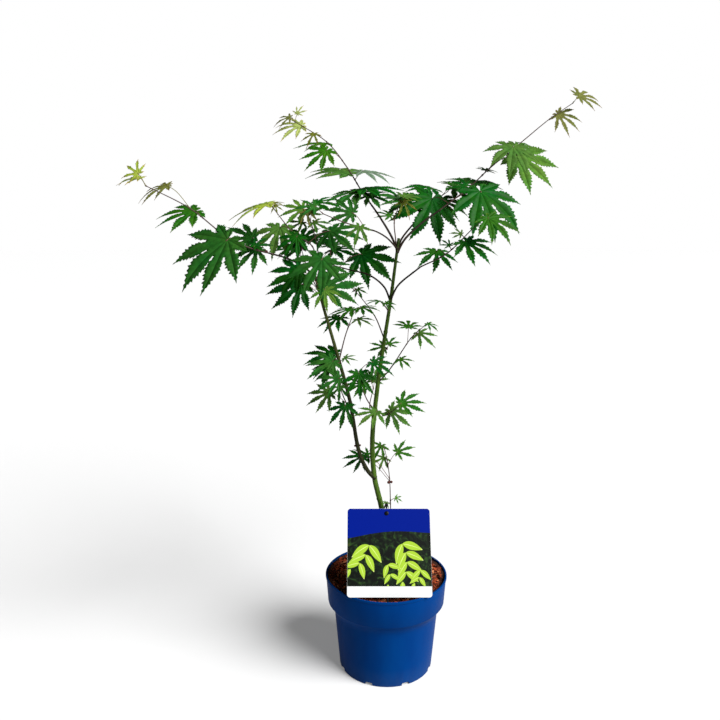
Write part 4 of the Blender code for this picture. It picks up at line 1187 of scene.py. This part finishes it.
def chip(rng):
    """A broken flake of bark, 1 by 1 by 1: a block, bevelled, with its corners knocked about."""
    bm = bmesh.new()
    bmesh.ops.create_cube(bm, size=1)
    long_edges = [edge for edge in bm.edges if abs(edge.verts[0].co.x - edge.verts[1].co.x) > 0.5]
    bmesh.ops.subdivide_edges(bm, edges=long_edges, cuts=2, use_grid_fill=True)
    bmesh.ops.bevel(bm, geom=bm.edges[:], offset=CHIP_BEVEL, segments=1, profile=0.5, affect="EDGES",
                    material=-1)
    taper, slant, bow, arch = [rng.uniform(-CHIP_SKEW, CHIP_SKEW) for _ in range(4)]
    for corner in bm.verts:
        x, y, z = corner.co
        skewed = Vector((x + slant * y, y * (1 + 2 * taper * x) + bow * (2 * x * x - 0.25), z + arch * x * x))
        corner.co = skewed + Vector([rng.uniform(-knock, knock) for knock in CHIP_KNOCKS])
    mesh = bpy.data.meshes.new("chip")
    bm.to_mesh(mesh)
    bm.free()
    return mesh


# ---------------------------------------------------------------- label

def label_place():
    """The card's frame: X along its width, Y up its face, Z out of its front."""
    return Matrix.Translation(LABEL_FOOT) @ Matrix.Rotation(math.radians(90 - LABEL_LEAN), 4, "X")


def card_shape(width, low, high, corner, thickness, front):
    """A sheet from low to high up the card, its front face front metres out of the card's own."""
    bm = bmesh.new()
    bmesh.ops.create_cube(bm, size=1)
    bmesh.ops.scale(bm, verts=bm.verts, vec=(width, high - low, thickness))
    bmesh.ops.translate(bm, verts=bm.verts, vec=(0, (low + high) / 2, front - thickness / 2))
    if corner:
        rounded_corners(bm, bm.edges, thickness, corner)
    return bm


def rounded_corners(bm, edges, thickness, corner):
    """Rounds a sheet's corners at those of the edges that run through its thickness."""
    through = [edge for edge in edges if abs(edge.verts[0].co.z - edge.verts[1].co.z) > thickness / 2]
    bmesh.ops.bevel(bm, geom=through, offset=corner, segments=8, profile=0.5, affect="EDGES", material=-1)


def pierced(name, bm, materials, replaced=()):
    """A sheet of the label with the pin's hole through it, set in its place."""
    made = to_object(name, bm, materials)
    hole = bmesh.new()
    bmesh.ops.create_cone(hole, cap_ends=True, segments=40, radius1=HOLE_RADIUS, radius2=HOLE_RADIUS,
                          depth=10 * MM,
                          matrix=Matrix.Translation((HOLE_OFFSET, LABEL_LENGTH - HOLE_BELOW_TOP, 0)))
    cut(made, hole)
    made.data.transform(label_place())
    carried(made, replaced)


def leaflet(length, width, bend):
    """A plain oval leaflet printed flat, along X from its stalk, with a paler midrib."""
    bm = bmesh.new()
    grid = bmesh.ops.create_grid(bm, x_segments=14, y_segments=4, size=1)["verts"]
    for corner in grid:
        share, across = (corner.co.x + 1) / 2, corner.co.y
        half = width * math.sin(math.pi * share ** OVAL_LEAN) ** OVAL_FULLNESS
        if abs(across) < OUTER_COLUMN:
            across = math.copysign(PRINTED_VEIN * (1 - VEIN_FADE * share), across) if across else 0.0
        corner.co = Vector((length * share, across * half + bend * length * share ** 2, 0))
    for face in bm.faces:
        off_midrib = [abs(corner.co.y - bend * corner.co.x ** 2 / length) for corner in face.verts]
        face.material_index = 1 if max(off_midrib) < PALE_STRIP * width else 0
    bmesh.ops.remove_doubles(bm, verts=bm.verts, dist=0.01 * MM)
    return bm


def label_head():
    """The blue print over the card's upper part, with a curved foot that rises to the right."""
    head = card_shape(LABEL_WIDTH - 2 * PRINT_EDGE, HEAD_FOOT, LABEL_LENGTH - PRINT_EDGE, 0, INK, INK)
    top = [corner for corner in head.verts if corner.co.y > LABEL_LENGTH - MM]
    rounded_corners(head, [edge for edge in head.edges if set(edge.verts) <= set(top)], INK, LABEL_CORNER)
    low = HEAD_FOOT + PRINT_EDGE
    foot = [edge for edge in head.edges if all(corner.co.y < low for corner in edge.verts)
            and abs(edge.verts[0].co.x - edge.verts[1].co.x) > LABEL_WIDTH / 2]
    bmesh.ops.subdivide_edges(head, edges=foot, cuts=24)
    for corner in head.verts:
        if corner.co.y < low:
            share = corner.co.x / LABEL_WIDTH + 0.5
            corner.co.y += HEAD_CREST * math.sin(math.pi * share) ** 1.2 + HEAD_TILT * share
    return head


def printed_sprigs():
    """The oval leaves, each on a layer of its own and cut off at the card's edges."""
    sprigs = bmesh.new()
    for layer, (x, y, angle, length, width, bend) in enumerate(printed_leaflets()):
        bm = leaflet(length, width, bend)
        place = Matrix.Translation((x, y, layer * INK_STEP)) @ Matrix.Rotation(angle, 4, "Z")
        bmesh.ops.transform(bm, matrix=place, verts=bm.verts)
        pour(sprigs, bm)
    bmesh.ops.translate(sprigs, verts=sprigs.verts, vec=(0, 0, LEAF_PRINT_LEVEL))
    side = LABEL_WIDTH / 2 - SPRIG_EDGE
    for limit, outward in (((side, 0, 0), (1, 0, 0)), ((-side, 0, 0), (-1, 0, 0)),
                           ((0, STRIP_HEIGHT + SPRIG_EDGE / 2, 0), (0, -1, 0))):
        bmesh.ops.bisect_plane(sprigs, geom=sprigs.verts[:] + sprigs.edges[:] + sprigs.faces[:],
                               clear_outer=True, plane_co=limit, plane_no=outward)
    bmesh.ops.solidify(sprigs, geom=sprigs.faces[:], thickness=LEAF_PRINT_THICKNESS)
    return sprigs


def label():
    """The card, and its print in layers: a blue head, a dark field and sprigs of oval leaves."""
    card = card_shape(LABEL_WIDTH, 0, LABEL_LENGTH, LABEL_CORNER, LABEL_THICKNESS, 0)
    pierced("label_card", card, [laminated_card()], ["label"])
    pierced("label_blue_print", label_head(), [ink("blue_print", "#021366")])
    top = HEAD_FOOT + HEAD_CREST + HEAD_TILT + FIELD_OVERLAP
    field = card_shape(LABEL_WIDTH - 2 * PRINT_EDGE, STRIP_HEIGHT, top, 0, INK / 2, INK / 2)
    lime = [ink("lime_print", "#809D2C"), ink("pale_lime_print", "#A6B467")]
    for name, sheet, inks in (("label_dark_print", field, [night_garden()]),
                              ("label_leaf_print", printed_sprigs(), lime)):
        bmesh.ops.transform(sheet, matrix=label_place(), verts=sheet.verts)
        piece(name, sheet, inks)


def printed_leaflets():
    """Oval leaflets in pairs along the arching sprigs: x, y, angle, length, half width and bend."""
    rows = []
    for x, y, heading, span, pairs, size in PRINTED_SPRIGS:
        for i in range(pairs):
            share = i / (pairs - 1)
            turn = math.radians(heading) - SPRIG_ARCH * share
            px, py = (x + span * share * math.cos(turn)) * MM, (y + span * share * math.sin(turn)) * MM
            length = size * MM * (1 - SPRIG_TAPER * share)
            if i == pairs - 1:
                rows.append((px, py, turn, length, END_LEAFLET[0] * length, END_LEAFLET[1]))
                continue
            width, bend, spread = SIDE_LEAFLET
            for side in (-1, 1):
                rows.append((px, py, turn + side * spread, length, width * length, bend * side))
    return rows


def label_stake():
    """The black stake behind the card, its knob, and the headed pin through the card."""
    behind = -(LABEL_THICKNESS + GAP + STAKE_RADIUS)
    top = LABEL_LENGTH + STAKE_ABOVE
    place = label_place() @ Matrix.Translation((HOLE_OFFSET, 0, 0))
    spine = evenly([place @ Vector((0, height, behind)) for height in (-STAKE_BELOW, top)], STAKE_STEP)
    heap = tube(spine, [STAKE_RADIUS] * len(spine), 20)
    knob = bmesh.new()
    bmesh.ops.create_uvsphere(knob, u_segments=28, v_segments=18, radius=KNOB_RADIUS,
                              matrix=place @ Matrix.Translation((0, top, behind)))
    pour(heap, knob)
    # The pin: a shank with a shallow domed head, turned about the hole's axis.
    shank = [(0, behind), (PIN_RADIUS, behind), (PIN_RADIUS, GAP), (PIN_HEAD_RADIUS, GAP)]
    brim, crown = PIN_HEAD_RISE
    dome = [(PIN_HEAD_RADIUS * math.cos(angle), GAP + brim + crown * math.sin(angle))
            for angle in [math.radians(step * 15) for step in range(7)]]
    pin = spun(shank + dome[:-1] + [(0, dome[-1][1])], 28)
    pin_place = place @ Matrix.Translation((0, LABEL_LENGTH - HOLE_BELOW_TOP, 0))
    bmesh.ops.transform(pin, matrix=pin_place, verts=pin.verts)
    pour(heap, pin)
    piece("label_stake_and_pin", heap, [black_nylon()], ["label_stake"], smooth_degrees=40)


# ---------------------------------------------------------------- finishes

def add(tree, kind, sockets=None, to=None, **settings):
    """Adds a node: sockets takes a value or another node's output for each input, to the input that its
    first output feeds, and settings its properties."""
    made = tree.nodes.new(kind)
    for key, value in settings.items():
        setattr(made, key, value)
    for key, value in (sockets or {}).items():
        if isinstance(value, bpy.types.NodeSocket):
            tree.links.new(value, made.inputs[key])
        else:
            made.inputs[key].default_value = value
    if to:
        tree.links.new(made.outputs[0], to)
    return made


def finish(name, colour, roughness, **sockets):
    """A Principled material, its node tree, its shader and its Object coordinates."""
    material = bpy.data.materials.new(name)
    material.use_nodes = True
    tree = material.node_tree
    shader = tree.nodes["Principled BSDF"]
    shader.inputs["Base Color"].default_value = linear(colour)
    shader.inputs["Roughness"].default_value = roughness
    shader.inputs["Specular IOR Level"].default_value = SHEEN
    for key, value in sockets.items():
        shader.inputs[key.replace("_", " ")].default_value = value
    material.diffuse_color = linear(colour)
    return material, tree, shader, add(tree, "ShaderNodeTexCoord").outputs["Object"]


def stretched(tree, coords, size):
    """The coordinates divided by the pattern's size in mm, one for all the axes or one for each."""
    scale = [1000 / across for across in (size if isinstance(size, tuple) else (size,) * 3)]
    return add(tree, "ShaderNodeMapping", {"Vector": coords, "Scale": scale}).outputs[0]


def patches(tree, coords, size, stops, **detail):
    """Colours that drift into each other in patches of this size; stops are (place from 0 to 1, colour)."""
    drift = add(tree, "ShaderNodeTexNoise", {"Vector": stretched(tree, coords, size), "Scale": 1.0, **detail})
    made = add(tree, "ShaderNodeValToRGB", {"Fac": drift.outputs[0]})
    while len(made.color_ramp.elements) < len(stops):
        made.color_ramp.elements.new(0.5)
    for element, (place, colour) in zip(made.color_ramp.elements, stops):
        element.position = place
        element.color = linear(colour)
    return made.outputs[0]


def drifting(tree, coords, size, low, high, span=(0.3, 0.7), **detail):
    """A value that drifts between low and high in patches of this size."""
    drift = add(tree, "ShaderNodeTexNoise", {"Vector": stretched(tree, coords, size), "Scale": 1.0, **detail})
    ends = {"From Min": span[0], "From Max": span[1], "To Min": low, "To Max": high}
    return add(tree, "ShaderNodeMapRange", {"Value": drift.outputs[0], **ends}).outputs[0]


def grained(skin, kind, size, strength, depth, **detail):
    """Relief too fine to model: a pattern of this kind and size stands out of the skin by its depth."""
    _, tree, shader, coords = skin
    pattern = add(tree, kind, {"Vector": stretched(tree, coords, size), "Scale": 1.0, **detail})
    add(tree, "ShaderNodeBump", {"Height": pattern.outputs[0], "Strength": strength, "Distance": depth},
        to=shader.inputs["Normal"])


def cached(make):
    """Keeps each finish, so that it is made once."""
    made = {}

    def kept(*key):
        if key not in made:
            made[key] = make(*key)
        return made[key]
    return kept


@cached
def leaf_finishes(age_and_shade):
    """Maple leaf: a thin waxy skin over soft green flesh. Upper face half glossy and faintly mottled, main
    veins paler, underside matt and paler still. Mottle 6 mm across, partly the leaf's own and partly painted
    highlight and painted backlit glow, a drift towards yellow or blue every 30 mm, skin cells drawn at 0.6
    mm. The deep (K) finishes are painted shade. The order is that of UPPER, VEIN, UNDERSIDE and TIP."""
    name, *colours = AGES_AND_SHADE[age_and_shade]
    made = []
    for part, colour, roughness in zip(("blade", "vein", "underside", "tip"), colours, (0.5, 0.55, 0.7, 0.6)):
        skin = finish(f"{name}_leaf_{part}", colour, roughness, Specular_IOR_Level=0.055)
        material, tree, shader, coords = skin
        # Mottle: partly the leaf's own, partly painted highlight and painted backlit glow.
        shade = drifting(tree, coords, 6, 0.74, 1.24, Detail=3.0)
        hue = drifting(tree, coords, 30, 0.515, 0.485)
        add(tree, "ShaderNodeHueSaturation", {"Hue": hue, "Value": shade, "Color": linear(colour)},
            to=shader.inputs["Base Color"])
        grained(skin, "ShaderNodeTexVoronoi", 0.6, 0.15, 0.1 * MM)
        made.append(material)
    return made


def bark_finish(name, base, streak, pore, top=None):
    """Young bark: smooth skin, darker streaks up the stem 1.5 mm wide, pale breathing pores 1.4 mm apart.
    top is another colour that takes over between two heights up the plant."""
    skin = finish(name, base, 0.5, Specular_IOR_Level=0.07)
    material, tree, shader, coords = skin
    body = patches(tree, coords, (1.5, 1.5, 18), ((0.32, streak), (0.55, base)), Detail=4.0)
    if top:
        colour, start, end = top
        height = add(tree, "ShaderNodeSeparateXYZ", {"Vector": coords}).outputs["Z"]
        fade = add(tree, "ShaderNodeMapRange", {"Value": height, "From Min": start, "From Max": end})
        body = add(tree, "ShaderNodeMix", {"Factor": fade.outputs[0], "A": body, "B": linear(colour)},
                   data_type="RGBA").outputs["Result"]
    spaced = stretched(tree, coords, (1.4, 1.4, 2.6))
    pores = add(tree, "ShaderNodeTexVoronoi", {"Vector": spaced, "Scale": 1.0})
    dots = add(tree, "ShaderNodeMapRange", {"Value": pores.outputs[0], "From Min": 0.12, "From Max": 0.22,
                                            "To Min": 1.0, "To Max": 0.0})
    dotted = add(tree, "ShaderNodeMix", {"Factor": dots.outputs[0], "A": body, "B": linear(pore)},
                 data_type="RGBA")
    tree.links.new(dotted.outputs["Result"], shader.inputs["Base Color"])
    grained(skin, "ShaderNodeTexNoise", (0.5, 0.5, 3), 0.4, 0.2 * MM, Detail=5.0)
    return material


@cached
def green_bark():
    """The main stem is still green: olive skin, darker towards the top."""
    return bark_finish("young_green_bark", "#385016", "#21330C", "#4E5E29", ("#1B290A", 480 * MM, 660 * MM))


@cached
def dark_bark():
    """The second stem has browned: nearly black with an olive cast, greener towards its top."""
    return bark_finish("young_dark_bark", "#1F210E", "#0C0D06", "#3C3F22", ("#343C18", 420 * MM, 580 * MM))


@cached
def bough_bark():
    """The boughs: nearly black brown."""
    return bark_finish("dark_bough_bark", "#211914", "#0F0A09", "#45372C")


@cached
def twig_bark():
    """This year's twigs: a softer purplish brown."""
    return bark_finish("brown_twig_bark", "#3F312C", "#261B1E", "#5C4E43")


@cached
def stalk_skin(name, colour):
    """Leaf stalks: a smooth waxy skin, paler and darker in soft stretches 8 mm long."""
    material, tree, shader, coords = finish(name, colour, 0.45, Specular_IOR_Level=0.08)
    shade = drifting(tree, coords, 8, 0.75, 1.25)
    add(tree, "ShaderNodeHueSaturation", {"Value": shade, "Color": linear(colour)},
        to=shader.inputs["Base Color"])
    return material


def two_toned(skin, size, stops, **detail):
    """Colours the skin in patches of this size."""
    material, tree, shader, coords = skin
    tree.links.new(patches(tree, coords, size, stops, **detail), shader.inputs["Base Color"])
    return material


@cached
def bud_scales():
    """Bud scales: dark red-brown, half glossy, in patches of 1 mm."""
    return two_toned(finish("bud_scales", "#371916", 0.4), 1, ((0.35, "#1E0D0D"), (0.65, "#50271F")))


@cached
def cut_wood():
    """An old pruning cut: weathered end grain, nearly black, spotted each 0.6 mm."""
    return two_toned(finish("weathered_end_grain", "#14110E", 0.8), 0.6, ((0.3, "#0B0907"), (0.7, "#2A241E")))


@cached
def moulded_plastic():
    """Injection-moulded polypropylene, coloured through: half matt, with the mould's spark grain drawn at
    0.7 mm, faint flow marks down the wall and a little dust low down."""
    skin = finish("moulded_polypropylene", "#012B61", 0.42, IOR=1.25, Specular_IOR_Level=0.04,
                  Specular_Tint=linear("#2A80E0"))
    material, tree, shader, coords = skin
    flow = (22, 22, 60)
    body = patches(tree, coords, flow, ((0.3, "#01285D"), (0.7, "#012D63")), Detail=3.0)
    height = add(tree, "ShaderNodeSeparateXYZ", {"Vector": coords}).outputs["Z"]
    low = add(tree, "ShaderNodeMapRange", {"Value": height, "From Min": 0.0, "From Max": 30 * MM,
                                           "To Min": 0.3, "To Max": 0.0})
    spaced = stretched(tree, coords, 5)
    dust = add(tree, "ShaderNodeTexNoise", {"Vector": spaced, "Scale": 1.0, "Detail": 6.0})
    amount = add(tree, "ShaderNodeMath", {0: low.outputs[0], 1: dust.outputs[0]}, operation="MULTIPLY")
    dusty = add(tree, "ShaderNodeMix", {"Factor": amount.outputs[0], "A": body, "B": linear("#374350")},
                data_type="RGBA")
    tree.links.new(dusty.outputs["Result"], shader.inputs["Base Color"])
    worn = drifting(tree, coords, flow, 0.36, 0.5, (0.0, 1.0), Detail=3.0)
    tree.links.new(worn, shader.inputs["Roughness"])
    grained(skin, "ShaderNodeTexNoise", 0.7, 0.12, 0.1 * MM)
    return material


@cached
def mulch_finish(name, dark, pale):
    """Composted bark: matt and fibrous, fibres drawn at 2.2 mm and 0.8 mm apart."""
    skin, fibres = finish(name, pale, 0.9), (2.2, 2.2, 0.8)
    grained(skin, "ShaderNodeTexNoise", fibres, 0.7, 0.6 * MM, Detail=6.0)
    return two_toned(skin, fibres, ((0.35, dark), (0.65, pale)), Detail=6.0)


@cached
def laminated_card():
    """White card in a clear film: glossy, very slightly rippled each 15 mm."""
    skin = finish("laminated_card", "#B3B4B4", 0.3, Specular_IOR_Level=0.3)
    grained(skin, "ShaderNodeTexNoise", 15, 0.1, 0.3 * MM)
    return skin[0]


@cached
def ink(name, colour):
    """Offset ink under the film, with the dot screen too fine to show: drawn as a 0.8 mm mottle."""
    material, tree, shader, coords = finish(name, colour, 0.3, IOR=1.3, Specular_IOR_Level=0.12)
    shade = drifting(tree, coords, 0.8, 0.9, 1.1, (0.0, 1.0))
    add(tree, "ShaderNodeHueSaturation", {"Value": shade, "Color": linear(colour)},
        to=shader.inputs["Base Color"])
    return material


@cached
def night_garden():
    """The label's dark field: near black with soft patches of deep green and brown, 9 mm across."""
    stops = ((0.42, "#040704"), (0.55, "#0D190B"), (0.66, "#1F3713"), (0.75, "#372616"))
    return two_toned(finish("dark_print", "#070B07", 0.3, Specular_IOR_Level=0.25), 9, stops, Detail=5.0,
                     Distortion=1.2)


@cached
def black_nylon():
    """Moulded nylon: black, half glossy, with a fine grain drawn at 0.6 mm."""
    skin = finish("black_nylon", "#050507", 0.4)
    grained(skin, "ShaderNodeTexNoise", 0.6, 0.15, 0.1 * MM)
    return skin[0]


# ---------------------------------------------------------------- stage

def floor_and_light():
    """A pale floor, a wide soft lamp from the front right and an even pale surround."""
    bm = bmesh.new()
    bmesh.ops.create_circle(bm, cap_ends=True, segments=96, radius=FLOOR_RADIUS)
    bmesh.ops.translate(bm, verts=bm.verts, vec=(0, 0, -FLOOR_GAP))
    skin = finish("pale_floor", "#B0B0B0", 0.9, Emission_Color=(1, 1, 1, 1), Emission_Strength=FLOOR_GLOW)
    floor = to_object("floor", bm, [skin[0]])
    sun = bpy.data.lights.new("key", "SUN")
    sun.energy = KEY_STRENGTH
    sun.angle = math.radians(KEY_SIZE)
    key = bpy.data.objects.new("key", sun)
    key.matrix_world = Vector(KEY_FROM).to_track_quat("Z", "Y").to_matrix().to_4x4()
    bpy.context.scene.collection.objects.link(key)
    world = bpy.data.worlds.new("surround")
    world.use_nodes = True
    tree, surround = world.node_tree, world.node_tree.nodes["Background"]
    seen = add(tree, "ShaderNodeLightPath").outputs["Is Camera Ray"]
    add(tree, "ShaderNodeMapRange", {"Value": seen, "To Min": AMBIENT, "To Max": BACKDROP},
        to=surround.inputs["Strength"])
    surround.inputs["Color"].default_value = (1, 1, 1, 1)
    bpy.context.scene.world = world


def stage():
    floor_and_light()
    bpy.context.scene.view_settings.view_transform = "Standard"
    lens = bpy.data.cameras.new("camera")
    lens.lens = CAMERA_LENS
    camera = bpy.data.objects.new("camera", lens)
    camera.location = CAMERA_PLACE
    camera.rotation_euler = (math.radians(90 - CAMERA_PITCH), 0, 0)
    bpy.context.scene.collection.objects.link(camera)
    bpy.context.scene.camera = camera


def main():
    stage()
    grown, found = grown_leaves()
    for row in LIMBS:
        limb_piece(*row)
    stub()
    twigs(grown)
    stalks(found)
    buds(found)
    leaves(found)
    pot()
    mulch()
    label()
    label_stake()


main()
